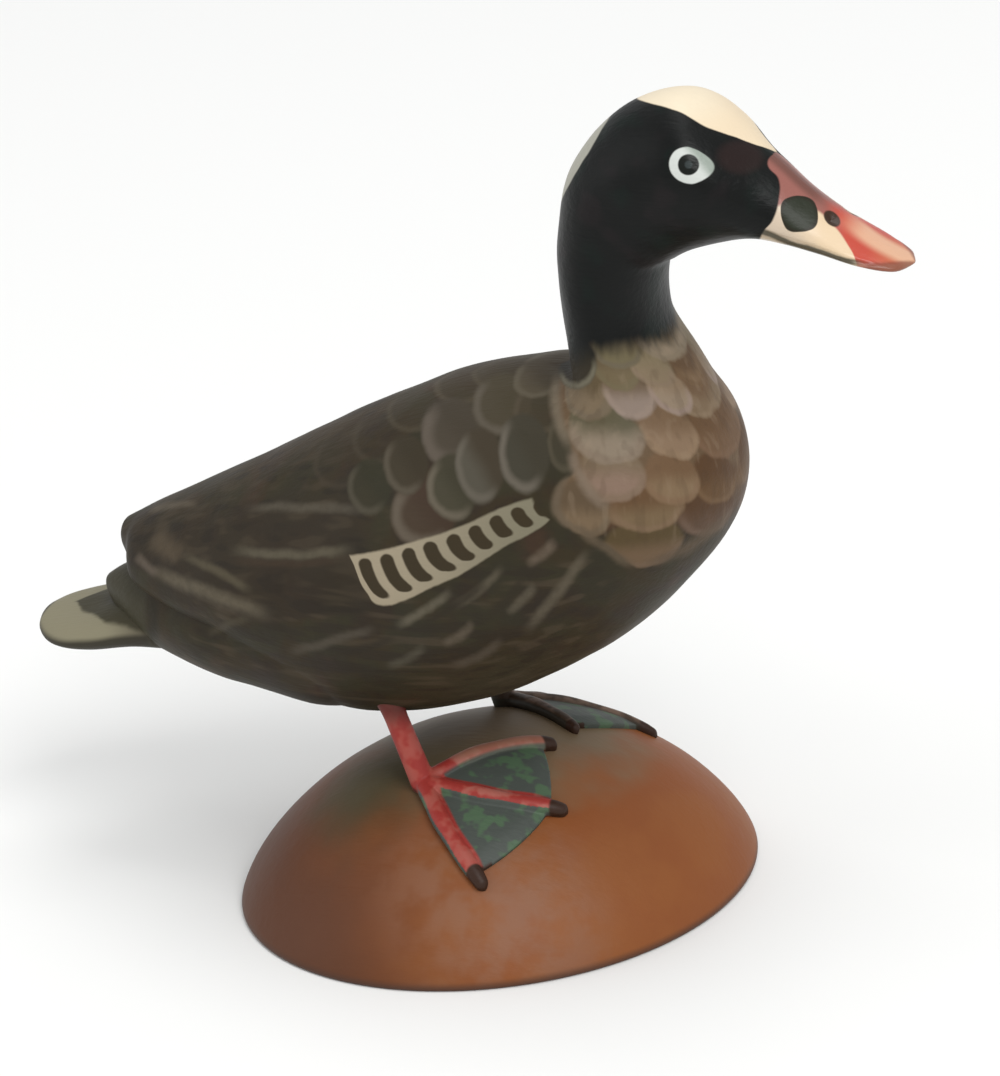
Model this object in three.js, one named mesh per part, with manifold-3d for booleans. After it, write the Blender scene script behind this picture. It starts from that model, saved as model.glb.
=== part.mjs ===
// Miniature carved duck: a painted scoter standing on two red webbed feet on a
// low oval mound. Millimetres, Z up, bill towards +X, the bird's right side
// towards -Y. The origin is the centre of the mound's flat underside.
import * as THREE from 'three';
import { ParametricGeometry } from 'three/addons/geometries/ParametricGeometry.js';
import { mergeVertices } from 'three/addons/utils/BufferGeometryUtils.js';
import Module from 'manifold-3d';

const wasm = await Module();
wasm.setup();

// The gap that keeps touching pieces apart.
const GAP = 0.3;

// The mound: an oval dome, its long axis turned away from the bird's.
const MOUND_LENGTH = 63.8;
const MOUND_WIDTH = 57.8;
const MOUND_HEIGHT = 18.9;
const MOUND_TURN = THREE.MathUtils.degToRad(54);
const MOUND_FULLNESS = 0.74;
const MOUND_EDGE = 0.5;
const MOUND_RINGS = 10;
const MOUND_SIDES = 48;

// The legs and feet. A toe points along its heading, in degrees from the bird's
// own direction, and bows to its left by a distance, or to its right if negative.
const SHANK_TOP_Y = 10.6;
const SHANK_TOP_Z = 33;
const ANKLE_Y = 11.8;
const ANKLE_RADIUS = 1.6;
const CLAW_SHARE = 0.1;
const CLAW_TAPER = 0.3;
const SOLE_DEPTH = 1.3;
const WEB_THICKNESS = 0.6;
const WEB_REACH = 0.88;
const WEB_HOLLOW = 0.02;
const RIGHT_LEG = {
  side: -1,
  ankleX: -3.2,
  shankTopX: -9.5,
  shankRadius: 1.4,
  flare: 0.5,
  toeWidth: 2.4,
  toeHeight: 1.5,
  toeTaper: 0.18,
  toes: {
    outer: { heading: -41.5, length: 14.9, bow: -0.9 },
    middle: { heading: 8.5, length: 17.0, bow: -1.5 },
    inner: { heading: 45, length: 16.8, bow: 0.9 },
  },
};
const LEFT_LEG = {
  side: 1,
  ankleX: -2.5,
  shankTopX: -7.6,
  shankRadius: 1.3,
  flare: 0.3,
  toeWidth: 2.3,
  toeHeight: 1.45,
  toeTaper: 0.4,
  toes: {
    outer: { heading: 66, length: 13.0, bow: 0 },
    middle: { heading: 17, length: 17.6, bow: 0 },
    inner: { heading: -30, length: 13.6, bow: 0 },
  },
};

// Sections of the carved bird. Each stands across the bird between a point on
// its back line and a point on its belly line (x, z), and is an oval with a half
// width, the share of its height where it is widest, and a fullness (2 is an
// ellipse, more is boxier). The body's sections fan out round the corner where
// the back meets the neck. Towards the rear they hold only the folded wings,
// whose lower edge stands out over the rump.
const BODY_SECTIONS = [
  { name: 'wing tips', back: [-45.9, 42.0], belly: [-44.3, 38.6], halfWidth: 2.4 },
  { name: 'primaries', back: [-44.0, 43.1], belly: [-42.5, 37.3], halfWidth: 5.0, widestAt: 0.42 },
  { name: 'wings over the rump', back: [-40.4, 45.0], belly: [-40.0, 35.2], halfWidth: 9.2, widestAt: 0.36 },
  { name: 'lower back', back: [-28.4, 50.9], belly: [-27.2, 29.5], halfWidth: 15.0, widestAt: 0.45 },
  { name: 'middle of the back', back: [-14.6, 58.2], belly: [-14.6, 22.6], halfWidth: 18.2, widestAt: 0.48 },
  { name: 'upper back', back: [-1.0, 64.4], belly: [-1.4, 24.0], halfWidth: 19.6 },
  { name: 'shoulders', back: [8.8, 66.9], belly: [11.0, 29.2], halfWidth: 19.7, widestAt: 0.52 },
  { name: 'lower breast', back: [13.5, 67.3], belly: [22.8, 37.2], halfWidth: 18.6, widestAt: 0.52 },
  { name: 'breast', back: [15.3, 67.8], belly: [32.2, 48.0], halfWidth: 16.2 },
  { name: 'collar', back: [16.0, 68.7], belly: [34.0, 56.6], halfWidth: 13.2 },
  { name: 'neck root', back: [15.3, 71.0], belly: [31.1, 64.6], halfWidth: 10.1 },
  { name: 'neck', back: [14.9, 76.5], belly: [26.6, 73.2], halfWidth: 8.7 },
  { name: 'throat', back: [14.8, 84.0], belly: [27.0, 80.2], halfWidth: 8.3 },
  { name: 'nape', back: [17.0, 92.6], belly: [28.9, 81.9], halfWidth: 8.4 },
  { name: 'back of the crown', back: [23.2, 99.2], belly: [31.5, 83.2], halfWidth: 8.8 },
  { name: 'crown', back: [30.2, 101.5], belly: [35.6, 84.4], halfWidth: 9.0, widestAt: 0.52 },
  { name: 'forehead', back: [34.8, 99.4], belly: [38.8, 84.9], halfWidth: 8.0 },
  { name: 'bill root', back: [40.8, 94.5], belly: [40.8, 84.8], halfWidth: 5.5, widestAt: 0.45, fullness: 2.2 },
  { name: 'bill', back: [46.3, 89.9], belly: [45.9, 83.8], halfWidth: 4.8, widestAt: 0.45, fullness: 2.2 },
  { name: 'bill spoon', back: [51.5, 86.0], belly: [51.1, 83.0], halfWidth: 4.8, widestAt: 0.45, fullness: 2.2 },
  { name: 'bill nail', back: [55.0, 84.0], belly: [54.9, 82.5], halfWidth: 3.4, widestAt: 0.45, fullness: 2.2 },
  { name: 'bill tip', back: [56.8, 83.4], belly: [56.8, 82.6], halfWidth: 1.2 },
];

// The rump under the folded wings, running forwards into the belly.
const RUMP_SECTIONS = [
  { name: 'tail coverts end', back: [-49.6, 33.9], belly: [-45.0, 29.6], halfWidth: 2.0, widestAt: 0.45 },
  { name: 'tail coverts', back: [-46.8, 35.9], belly: [-43.3, 28.6], halfWidth: 4.8, widestAt: 0.45 },
  { name: 'rump', back: [-42.8, 38.0], belly: [-40.0, 27.2], halfWidth: 8.0 },
  { name: 'rump middle', back: [-36.0, 40.6], belly: [-33.9, 25.6], halfWidth: 11.6 },
  { name: 'vent', back: [-28.4, 43.5], belly: [-26.8, 24.15], halfWidth: 14.2 },
  { name: 'rear belly', back: [-14.6, 46.0], belly: [-14.6, 22.9], halfWidth: 16.4 },
  { name: 'inside the belly', back: [-2.0, 44.0], belly: [-2.0, 27.5], halfWidth: 14.5 },
];

// The tail: a flat fan that comes out under the wing tips, from its tip to its root.
const TAIL_SECTIONS = [
  { name: 'tail tip', back: [-57.6, 29.5], belly: [-57.6, 28.4], halfWidth: 1.4 },
  { name: 'tail end', back: [-56.3, 30.0], belly: [-56.3, 27.6], halfWidth: 4.9, widestAt: 0.45, fullness: 2.2 },
  { name: 'fan end', back: [-53.2, 30.5], belly: [-53.2, 26.95], halfWidth: 7.8, widestAt: 0.45, fullness: 2.2 },
  { name: 'fan', back: [-48.6, 31.7], belly: [-48.2, 26.9], halfWidth: 8.8, widestAt: 0.45, fullness: 2.2 },
  { name: 'fan root', back: [-42.0, 34.1], belly: [-41.6, 27.6], halfWidth: 8.6, widestAt: 0.45, fullness: 2.2 },
  { name: 'tail root', back: [-34.0, 35.7], belly: [-35.5, 27.2], halfWidth: 8.2, fullness: 2.2 },
];
const BODY_RINGS_PER_SECTION = 4;
const BODY_SIDES = 28;
const RUMP_RINGS_PER_SECTION = 3;
const RUMP_SIDES = 28;
const TAIL_RINGS_PER_SECTION = 3;
const TAIL_SIDES = 20;

// Smooth curve through the given vectors, one step of its parameter per vector.
function curveThrough(vectors) {
  return new THREE.CatmullRomCurve3(vectors, false, 'catmullrom', 0.5);
}

// A power that keeps the sign of its base, for the ovals.
function signedPower(value, power) {
  return Math.sign(value) * Math.pow(Math.abs(value), power);
}

// Weld a closed surface and drop the collapsed triangles at its poles.
function weld(geometry) {
  const bare = geometry.clone();
  bare.deleteAttribute('normal');
  bare.deleteAttribute('uv');
  const welded = mergeVertices(bare, 1e-4);
  const corners = welded.index.array;
  const kept = [];
  for (let i = 0; i < corners.length; i += 3) {
    const [a, b, c] = [corners[i], corners[i + 1], corners[i + 2]];
    if (a !== b && b !== c && c !== a) {
      kept.push(a, b, c);
    }
  }
  welded.setIndex(kept);
  return welded;
}

// Surface closed round the stacked rings that ringPoint(along, around) gives,
// with along and around both from 0 to 1, and closed at both ends.
function ringSurface(ringPoint, rings, sides) {
  const stacks = rings + 2;
  const place = (u, v, target) => {
    const row = Math.round(v * stacks);
    const along = THREE.MathUtils.clamp((row - 1) / rings, 0, 1);
    if (row === 0 || row === stacks) {
      const middle = new THREE.Vector3();
      for (let k = 0; k < sides; k += 1) {
        middle.add(ringPoint(along, k / sides));
      }
      target.copy(middle.divideScalar(sides));
    } else {
      target.copy(ringPoint(along, u < 1 ? u : 0));
    }
  };
  return weld(new ParametricGeometry(place, sides, stacks));
}

// The skin of a carved body through its named sections.
function carvedSkin(sections, ringsPerSection, sides) {
  const back = curveThrough(sections.map((s) => new THREE.Vector3(s.back[0], 0, s.back[1])));
  const belly = curveThrough(sections.map((s) => new THREE.Vector3(s.belly[0], 0, s.belly[1])));
  const girth = curveThrough(sections.map((s) => (
    new THREE.Vector3(s.halfWidth, s.widestAt ?? 0.5, s.fullness ?? 2)
  )));
  const ringPoint = (along, around) => {
    const low = belly.getPoint(along);
    const rise = back.getPoint(along).sub(low);
    const { x: halfWidth, y: widestAt, z: fullness } = girth.getPoint(along);
    const angle = around * 2 * Math.PI;
    const up = signedPower(Math.cos(angle), 2 / fullness);
    const side = signedPower(Math.sin(angle), 2 / fullness);
    const share = up > 0 ? widestAt + (1 - widestAt) * up : widestAt * (1 + up);
    const point = low.addScaledVector(rise, share);
    point.y = -halfWidth * side;
    return point;
  };
  return ringSurface(ringPoint, (sections.length - 1) * ringsPerSection, sides);
}

// The same surface moved outwards by a distance.
function grown(geometry, distance) {
  const larger = geometry.clone();
  larger.computeVertexNormals();
  const position = larger.attributes.position;
  const normal = larger.attributes.normal;
  for (let i = 0; i < position.count; i += 1) {
    position.setXYZ(
      i,
      position.getX(i) + distance * normal.getX(i),
      position.getY(i) + distance * normal.getY(i),
      position.getZ(i) + distance * normal.getZ(i),
    );
  }
  larger.deleteAttribute('normal');
  return larger;
}

// Solid for joining and cutting, from a welded closed surface.
function solidFrom(geometry) {
  return new wasm.Manifold(new wasm.Mesh({
    numProp: 3,
    vertProperties: Float32Array.from(geometry.attributes.position.array),
    triVerts: Uint32Array.from(geometry.index.array),
  }));
}

// Geometry of a joined or cut solid.
function geometryFrom(solid) {
  const { vertProperties, triVerts } = solid.getMesh();
  const geometry = new THREE.BufferGeometry();
  geometry.setAttribute('position', new THREE.Float32BufferAttribute(vertProperties, 3));
  geometry.setIndex(Array.from(triVerts));
  geometry.computeVertexNormals();
  return geometry;
}

// Height of the mound's surface above a point of the ground.
function moundHeight(x, y) {
  const along = (x * Math.cos(MOUND_TURN) + y * Math.sin(MOUND_TURN)) / (MOUND_LENGTH / 2);
  const across = (y * Math.cos(MOUND_TURN) - x * Math.sin(MOUND_TURN)) / (MOUND_WIDTH / 2);
  const inside = Math.max(0, 1 - along * along - across * across);
  return MOUND_HEIGHT * Math.pow(inside, MOUND_FULLNESS);
}

// Upward normal of the mound's surface.
function moundNormal(x, y) {
  const step = 0.05;
  const slopeX = (moundHeight(x + step, y) - moundHeight(x - step, y)) / (2 * step);
  const slopeY = (moundHeight(x, y + step) - moundHeight(x, y - step)) / (2 * step);
  return new THREE.Vector3(-slopeX, -slopeY, 1).normalize();
}

// Point at a height over the mound, measured along its normal.
function overMound(x, y, height) {
  return new THREE.Vector3(x, y, moundHeight(x, y)).addScaledVector(moundNormal(x, y), height);
}

// The mound: a dome with a small eased edge round its flat underside.
function buildMound() {
  const profile = [new THREE.Vector2(0, 0), new THREE.Vector2(1 - MOUND_EDGE / (MOUND_WIDTH / 2), 0)];
  for (let i = 0; i <= MOUND_RINGS; i += 1) {
    const slant = (i / MOUND_RINGS) * Math.PI / 2;
    const radius = Math.cos(slant);
    const height = MOUND_HEIGHT * Math.pow(1 - radius * radius, MOUND_FULLNESS);
    profile.push(new THREE.Vector2(radius, MOUND_EDGE + height * (1 - MOUND_EDGE / MOUND_HEIGHT)));
  }
  profile[profile.length - 1].x = 0;
  const dome = new THREE.LatheGeometry(profile, MOUND_SIDES);
  dome.rotateX(Math.PI / 2);
  dome.scale(MOUND_LENGTH / 2, MOUND_WIDTH / 2, 1);
  dome.rotateZ(MOUND_TURN);
  return weld(dome);
}

// Point on the ground plan at a distance from the ankle towards a toe.
function alongToe(ankle, toe, distance) {
  const heading = THREE.MathUtils.degToRad(toe.heading);
  const aside = toe.bow * Math.sin(Math.PI * distance / toe.length);
  return new THREE.Vector2(
    ankle.x + distance * Math.cos(heading) - aside * Math.sin(heading),
    ankle.y + distance * Math.sin(heading) + aside * Math.cos(heading),
  );
}

// A toe with its claw, lying along the mound and sunk a little below its surface
// for the cut that gives it a flat sole.
function toeSurface(ankle, leg, toe) {
  const heading = THREE.MathUtils.degToRad(toe.heading);
  const direction = new THREE.Vector3(Math.cos(heading), Math.sin(heading), 0);
  const ringPoint = (along, around) => {
    const place = alongToe(ankle, toe, toe.length * along);
    const normal = moundNormal(place.x, place.y);
    const side = new THREE.Vector3().crossVectors(normal, direction).normalize();
    const claw = THREE.MathUtils.clamp((along - 1 + CLAW_SHARE) / CLAW_SHARE, 0, 1);
    const taper = (1 - leg.toeTaper * along) * (1 - CLAW_TAPER * claw);
    const angle = around * 2 * Math.PI;
    const up = Math.sin(angle);
    const height = leg.toeHeight * taper * (0.35 + (up > 0 ? 0.65 * up : 0)) + (up < 0 ? SOLE_DEPTH * up : 0);
    return overMound(place.x, place.y, GAP + height)
      .addScaledVector(side, 0.5 * leg.toeWidth * taper * Math.cos(angle));
  };
  return ringSurface(ringPoint, 9, 10);
}

// The thin web between two toes, given from the right one to the left one.
function webSurface(ankle, rightToe, leftToe) {
  const ringPoint = (along, around) => {
    const between = {};
    for (const key of ['heading', 'length', 'bow']) {
      between[key] = THREE.MathUtils.lerp(rightToe[key], leftToe[key], along);
    }
    const reach = between.length * (WEB_REACH - WEB_HOLLOW * Math.sin(Math.PI * along));
    const outward = around < 0.5 ? around / 0.5 : (1 - around) / 0.5;
    const height = around > 0 && around < 0.5 ? WEB_THICKNESS : -SOLE_DEPTH;
    const radius = THREE.MathUtils.lerp(0.6, reach, THREE.MathUtils.clamp((outward - 0.1) / 0.8, 0, 1));
    const place = alongToe(ankle, between, radius);
    return overMound(place.x, place.y, GAP + height);
  };
  return ringSurface(ringPoint, 6, 14);
}

// The round shank from the ankle up into the belly, wider where it meets it.
function shankSurface(ankle, top, leg) {
  const foot = overMound(ankle.x, ankle.y, -0.5);
  const ringPoint = (along, around) => {
    const angle = around * 2 * Math.PI;
    const wide = THREE.MathUtils.clamp((along - 0.52) / 0.18, 0, 1);
    const ankleShare = Math.pow(1 - along, 3);
    const radius = THREE.MathUtils.lerp(leg.shankRadius, ANKLE_RADIUS, ankleShare) + leg.flare * wide * wide;
    const point = foot.clone().lerp(top, along);
    point.x += radius * Math.cos(angle);
    point.y += radius * Math.sin(angle);
    return point;
  };
  return ringSurface(ringPoint, 8, 12);
}

// One leg with its webbed foot, cut off where it meets the belly and the mound.
function buildLeg(leg, neighbours) {
  const ankle = { x: leg.ankleX, y: leg.side * ANKLE_Y };
  const top = new THREE.Vector3(leg.shankTopX, leg.side * SHANK_TOP_Y, SHANK_TOP_Z);
  const toes = Object.values(leg.toes).sort((first, second) => first.heading - second.heading);
  let solid = solidFrom(shankSurface(ankle, top, leg));
  for (const toe of toes) {
    solid = solid.add(solidFrom(toeSurface(ankle, leg, toe)));
  }
  for (const [right, left] of [[toes[0], toes[1]], [toes[1], toes[2]]]) {
    solid = solid.add(solidFrom(webSurface(ankle, right, left)));
  }
  return geometryFrom(neighbours.reduce((rest, neighbour) => rest.subtract(neighbour), solid));
}

function namedMesh(name, geometry, colour, roughness, metalness) {
  const mesh = new THREE.Mesh(
    geometry,
    new THREE.MeshStandardMaterial({ color: colour, roughness, metalness }),
  );
  mesh.name = name;
  return mesh;
}

const bodySkin = carvedSkin(BODY_SECTIONS, BODY_RINGS_PER_SECTION, BODY_SIDES);
const rumpSkin = carvedSkin(RUMP_SECTIONS, RUMP_RINGS_PER_SECTION, RUMP_SIDES);
const tailSkin = carvedSkin(TAIL_SECTIONS, TAIL_RINGS_PER_SECTION, TAIL_SIDES);
const bird = solidFrom(bodySkin).add(solidFrom(rumpSkin)).add(solidFrom(tailSkin));
const mound = buildMound();
const neighbours = [solidFrom(grown(bodySkin, GAP)), solidFrom(grown(mound, GAP))];

const group = new THREE.Group();
group.add(namedMesh('carved_bird', geometryFrom(bird), 0x4b4034, 0.6, 0));
group.add(namedMesh('right_leg_and_foot', buildLeg(RIGHT_LEG, neighbours), 0xb9554a, 0.55, 0));
group.add(namedMesh('left_leg_and_foot', buildLeg(LEFT_LEG, neighbours), 0xb9554a, 0.55, 0));
group.add(namedMesh('mound_base', mound, 0x8c5a3a, 0.65, 0));

export default group;
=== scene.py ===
"""Looks of a miniature carved and painted duck on an oval mound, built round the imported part.

The bird faces +X with its right side towards -Y. Sizes are in millimetres in the
classes below and become metres where a mesh is made.
"""
import logging
import math
from collections.abc import Callable
from dataclasses import dataclass
from enum import Enum

import bpy
import numpy as np
from mathutils import Matrix, Vector, noise


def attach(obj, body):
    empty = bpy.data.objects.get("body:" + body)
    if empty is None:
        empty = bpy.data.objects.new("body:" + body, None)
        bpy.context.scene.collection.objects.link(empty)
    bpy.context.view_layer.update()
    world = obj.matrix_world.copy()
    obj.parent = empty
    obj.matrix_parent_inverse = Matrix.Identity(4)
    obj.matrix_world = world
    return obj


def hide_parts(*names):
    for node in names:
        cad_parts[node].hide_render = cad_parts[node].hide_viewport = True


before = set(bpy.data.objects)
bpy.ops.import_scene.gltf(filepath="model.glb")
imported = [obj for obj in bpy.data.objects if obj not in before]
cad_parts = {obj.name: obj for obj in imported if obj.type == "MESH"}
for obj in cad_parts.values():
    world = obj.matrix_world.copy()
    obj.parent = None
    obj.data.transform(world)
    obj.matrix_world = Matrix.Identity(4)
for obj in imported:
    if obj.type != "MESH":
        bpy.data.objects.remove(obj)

MM = 0.001
WELD = 2e-6
BODY = "root"
log = logging.getLogger("carved_duck")

# How much of the bright studio light the paint throws back.
PAINT_SHARE = 0.80

Colour = tuple[float, float, float]
Point = tuple[float, float]
Place = tuple[float, float, float]
# Where a mask starts, at 0, and where it is whole, at 1.
Span = tuple[float, float]
Surface = Callable[[np.ndarray, np.ndarray], np.ndarray]


class Side(Enum):
    """A side of the bird, with the sign of its y."""

    RIGHT = -1
    LEFT = 1


# Modelling helpers


def clear_selection() -> None:
    """Deselects everything, so that an operator touches only the new piece."""
    bpy.ops.object.select_all(action="DESELECT")


def select_only(*pieces: bpy.types.Object) -> None:
    """Selects some pieces and makes the first one active.

    Args:
        pieces: the pieces to select.
    """
    clear_selection()
    for piece in pieces:
        piece.select_set(True)
    bpy.context.view_layer.objects.active = pieces[0]


def rows_of(collection: bpy.types.bpy_prop_collection, key: str) -> np.ndarray:
    """Reads a vector from each item of a mesh's collection, one row each."""
    flat = np.empty(len(collection) * 3)
    collection.foreach_get(key, flat)
    return flat.reshape(-1, 3)


def points_of(piece: bpy.types.Object) -> np.ndarray:
    """Reads the places of a piece's vertices in millimetres, one row each."""
    return rows_of(piece.data.vertices, "co") / MM


def move_points(piece: bpy.types.Object, places: np.ndarray) -> None:
    """Puts a piece's vertices at new places.

    Args:
        piece: a mesh object.
        places: the new places in millimetres, one row per vertex.
    """
    piece.data.vertices.foreach_set("co", (places * MM).ravel())
    piece.data.update()


def normals_of(piece: bpy.types.Object) -> np.ndarray:
    """Reads the normals of a piece's vertices, one row each."""
    return rows_of(piece.data.vertex_normals, "vector")


def wrapped_sheet(name: str, around: int, along: int, surface: Surface) -> bpy.types.Object:
    """Wraps a grid round a closed surface and welds its seam and its poles.

    Args:
        name: the new object's name.
        around: faces round the surface.
        along: faces from pole to pole.
        surface: gives the places in millimetres for shares around and along.

    Returns:
        The closed piece.
    """
    clear_selection()
    bpy.ops.mesh.primitive_grid_add(x_subdivisions=around, y_subdivisions=along, size=1.0)
    piece = bpy.context.object
    piece.name = piece.data.name = name
    flat = points_of(piece) * MM
    move_points(piece, surface(flat[:, 0] + 0.5, flat[:, 1] + 0.5))
    bpy.ops.object.mode_set(mode="EDIT")
    bpy.ops.mesh.select_all(action="SELECT")
    bpy.ops.mesh.remove_doubles(threshold=WELD)
    bpy.ops.mesh.normals_make_consistent(inside=False)
    bpy.ops.object.mode_set(mode="OBJECT")
    return piece


def apply_modifier(piece: bpy.types.Object, kind: str, **settings: object) -> None:
    """Adds a modifier to a piece and applies it.

    Args:
        piece: the piece to change.
        kind: the modifier's type.
        settings: the modifier's values.
    """
    modifier = piece.modifiers.new(kind.title(), kind)
    for key, value in settings.items():
        setattr(modifier, key, value)
    select_only(piece)
    bpy.ops.object.modifier_apply(modifier=modifier.name)


def unite(piece: bpy.types.Object, other: bpy.types.Object) -> None:
    """Joins another closed piece to a piece as one solid and removes the other."""
    apply_modifier(piece, "BOOLEAN", operation="UNION", solver="EXACT", object=other)
    bpy.data.objects.remove(other)


def smooth_step(value: np.ndarray, low: float, high: float) -> np.ndarray:
    """Rises softly from 0 at low to 1 at high."""
    share = np.clip((value - low) / (high - low), 0.0, 1.0)
    return share * share * (3.0 - 2.0 * share)


def signed_power(value: np.ndarray, power: np.ndarray) -> np.ndarray:
    """Raises values to a power and keeps their signs."""
    return np.sign(value) * np.abs(value) ** power


def curve_through(knots: np.ndarray, at: np.ndarray) -> np.ndarray:
    """Follows a smooth curve through rows of knots.

    Args:
        knots: the rows that the curve goes through.
        at: places along it, one step per knot.

    Returns:
        One row per place.
    """
    padded = np.vstack([2 * knots[0] - knots[1], knots, 2 * knots[-1] - knots[-2]])
    first = np.clip(np.floor(at).astype(int), 0, len(knots) - 2)
    t = (at - first)[:, None]
    a, b, c, d = (padded[first + step] for step in range(4))
    slope = c - a
    bend = 2 * a - 5 * b + 4 * c - d
    twist = 3 * b - a - 3 * c + d
    return 0.5 * (2 * b + slope * t + bend * t**2 + twist * t**3)


def hand_cut(places: np.ndarray, normals: np.ndarray, depth: float, size: float) -> np.ndarray:
    """Sinks a surface a little here and there, as a knife leaves it.

    Args:
        places: the vertices in millimetres.
        normals: their normals.
        depth: the deepest cut.
        size: the width of a cut.

    Returns:
        The new places, none of them outside the old surface.
    """
    cuts = np.array([noise.noise(Vector(place) / size) for place in places])
    return places - normals * (depth * (0.5 + 0.5 * np.clip(cuts * 1.6, -1, 1)))[:, None]


# Paint helpers


def linear(colour: Colour, share: float = 1.0) -> tuple[float, float, float, float]:
    """Turns a share of a colour of 0 to 255 as seen into the linear values of a shader."""
    shares = [part / 255 for part in colour]
    values = [share * (s / 12.92 if s <= 0.04045 else ((s + 0.055) / 1.055) ** 2.4) for s in shares]
    return (*values, 1.0)


def operator(operation: str, swapped: bool = False) -> Callable[["Wire", "Wire | float"], "Wire"]:
    """Makes an arithmetic method of a wire.

    Args:
        operation: the Math node's operation.
        swapped: whether the wire is the second term.

    Returns:
        The method.
    """

    def method(self: "Wire", other: "Wire | float") -> "Wire":
        """Adds the Math node."""
        terms = (other, self) if swapped else (self, other)
        return self.work.math(operation, *terms)

    return method


class Wire:
    """A value carried by a node socket. Arithmetic with it adds Math nodes."""

    def __init__(self, work: "Brushwork", socket: bpy.types.NodeSocket) -> None:
        """Holds a socket and the brushwork that it belongs to."""
        self.work = work
        self.socket = socket

    __add__ = operator("ADD")
    __radd__ = operator("ADD", swapped=True)
    __sub__ = operator("SUBTRACT")
    __rsub__ = operator("SUBTRACT", swapped=True)
    __mul__ = operator("MULTIPLY")
    __rmul__ = operator("MULTIPLY", swapped=True)
    __truediv__ = operator("DIVIDE")

    def __abs__(self) -> "Wire":
        """Drops the sign."""
        return self.work.math("ABSOLUTE", self)


class Brushwork:
    """Adds nodes to one tree; each call returns what carries its result."""

    def __init__(self, tree: bpy.types.NodeTree) -> None:
        """Starts on a node tree."""
        self.tree = tree

    def plug(self, socket: bpy.types.NodeSocket, value: object) -> None:
        """Links a wire to a socket, or sets the socket's own value."""
        if isinstance(value, Wire):
            self.tree.links.new(value.socket, socket)
        elif socket.type == "RGBA":
            socket.default_value = linear(value, PAINT_SHARE)
        else:
            socket.default_value = value

    def node(self, kind: str, plugs: dict, outlet: int | str = 0, **settings: object) -> Wire | None:
        """Adds a node.

        Args:
            kind: the node's type without the ShaderNode prefix.
            plugs: what goes into its sockets, by name or number.
            outlet: the output that is wanted.
            settings: the node's own settings.

        Returns:
            The wanted output, or nothing from a node that has none.
        """
        node = self.tree.nodes.new("ShaderNode" + kind)
        for key, value in settings.items():
            setattr(node, key, value)
        for key, value in plugs.items():
            self.plug(node.inputs[key], value)
        return Wire(self, node.outputs[outlet]) if node.outputs else None

    def math(self, operation: str, *terms: "Wire | float") -> Wire:
        """Adds a Math node."""
        return self.node("Math", dict(enumerate(terms)), operation=operation)

    def step(self, value: Wire, low: float, high: float) -> Wire:
        """Rises softly from 0 where the value is low to 1 where it is high."""
        plugs = {0: value, 1: low, 2: high, 3: 0.0, 4: 1.0}
        return self.node("MapRange", plugs, interpolation_type="SMOOTHSTEP", clamp=False)

    def scale(self, value: Wire, low: float, high: float, least: float, most: float) -> Wire:
        """Maps a range of a value to another range, in a straight line that ends with it."""
        line = self.node("MapRange", {0: value, 1: low, 2: high, 3: least, 4: most}, clamp=False)
        return self.node("Clamp", {0: line, 1: min(least, most), 2: max(least, most)})

    def both(self, *masks: "Wire | float") -> Wire:
        """Multiplies masks."""
        result = masks[0]
        for mask in masks[1:]:
            result = result * mask
        return result

    def vector(self, x: "Wire | float", y: "Wire | float", z: "Wire | float" = 0.0) -> Wire:
        """Makes a vector of three values."""
        return self.node("CombineXYZ", {0: x, 1: y, 2: z})

    def vector_math(self, operation: str, *terms: object) -> Wire:
        """Adds a Vector Math node, with a value out of it for a length or a dot product."""
        outlet = "Value" if operation in ("LENGTH", "DOT_PRODUCT") else "Vector"
        return self.node("VectorMath", dict(enumerate(terms)), outlet=outlet, operation=operation)

    def noise(self, place: Wire, size: float, detail: float = 2.0, rough: float = 0.5) -> Wire:
        """Adds a noise around 0.5.

        Args:
            place: where it is read.
            size: the width of its patches in the place's own units.
            detail: the number of finer layers.
            rough: how strong the finer layers are.

        Returns:
            The noise.
        """
        plugs = {"Vector": place, "Scale": 1.0 / size, "Detail": detail, "Roughness": rough}
        return self.node("TexNoise", plugs)

    def curve(self, value: Wire, points: tuple[Point, ...]) -> Wire:
        """Reads a smooth line.

        Args:
            value: where it is read.
            points: the points that the line goes through, from low to high.

        Returns:
            The line's height there.
        """
        low, high = points[0][0], points[-1][0]
        heights = [point[1] for point in points]
        least, most = min(heights), max(heights)
        share = (value - low) / (high - low)
        node = self.tree.nodes.new("ShaderNodeFloatCurve")
        line = node.mapping.curves[0]
        for index, (at, height) in enumerate(points):
            place = ((at - low) / (high - low), (height - least) / (most - least))
            if index == 0:
                line.points[0].location = place
            elif index == len(points) - 1:
                line.points[-1].location = place
            else:
                line.points.new(*place)
        node.mapping.update()
        self.plug(node.inputs["Value"], share)
        return self.scale(Wire(self, node.outputs[0]), 0.0, 1.0, least, most)

    def mix(self, share: "Wire | float", under: object, over: object) -> Wire:
        """Lays one colour over another by a share."""
        return self.node("Mix", {0: share, 6: under, 7: over}, outlet=2, data_type="RGBA")

    def use(self, group: bpy.types.NodeTree, **values: object) -> dict[str, Wire]:
        """Places a node group.

        Args:
            group: the group.
            values: what goes into its inputs, with _ for the spaces in their names.

        Returns:
            Its outputs by name.
        """
        node = self.tree.nodes.new("ShaderNodeGroup")
        node.node_tree = group
        for key, value in values.items():
            self.plug(node.inputs[key.replace("_", " ")], value)
        return {outlet.name: Wire(self, outlet) for outlet in node.outputs}


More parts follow.
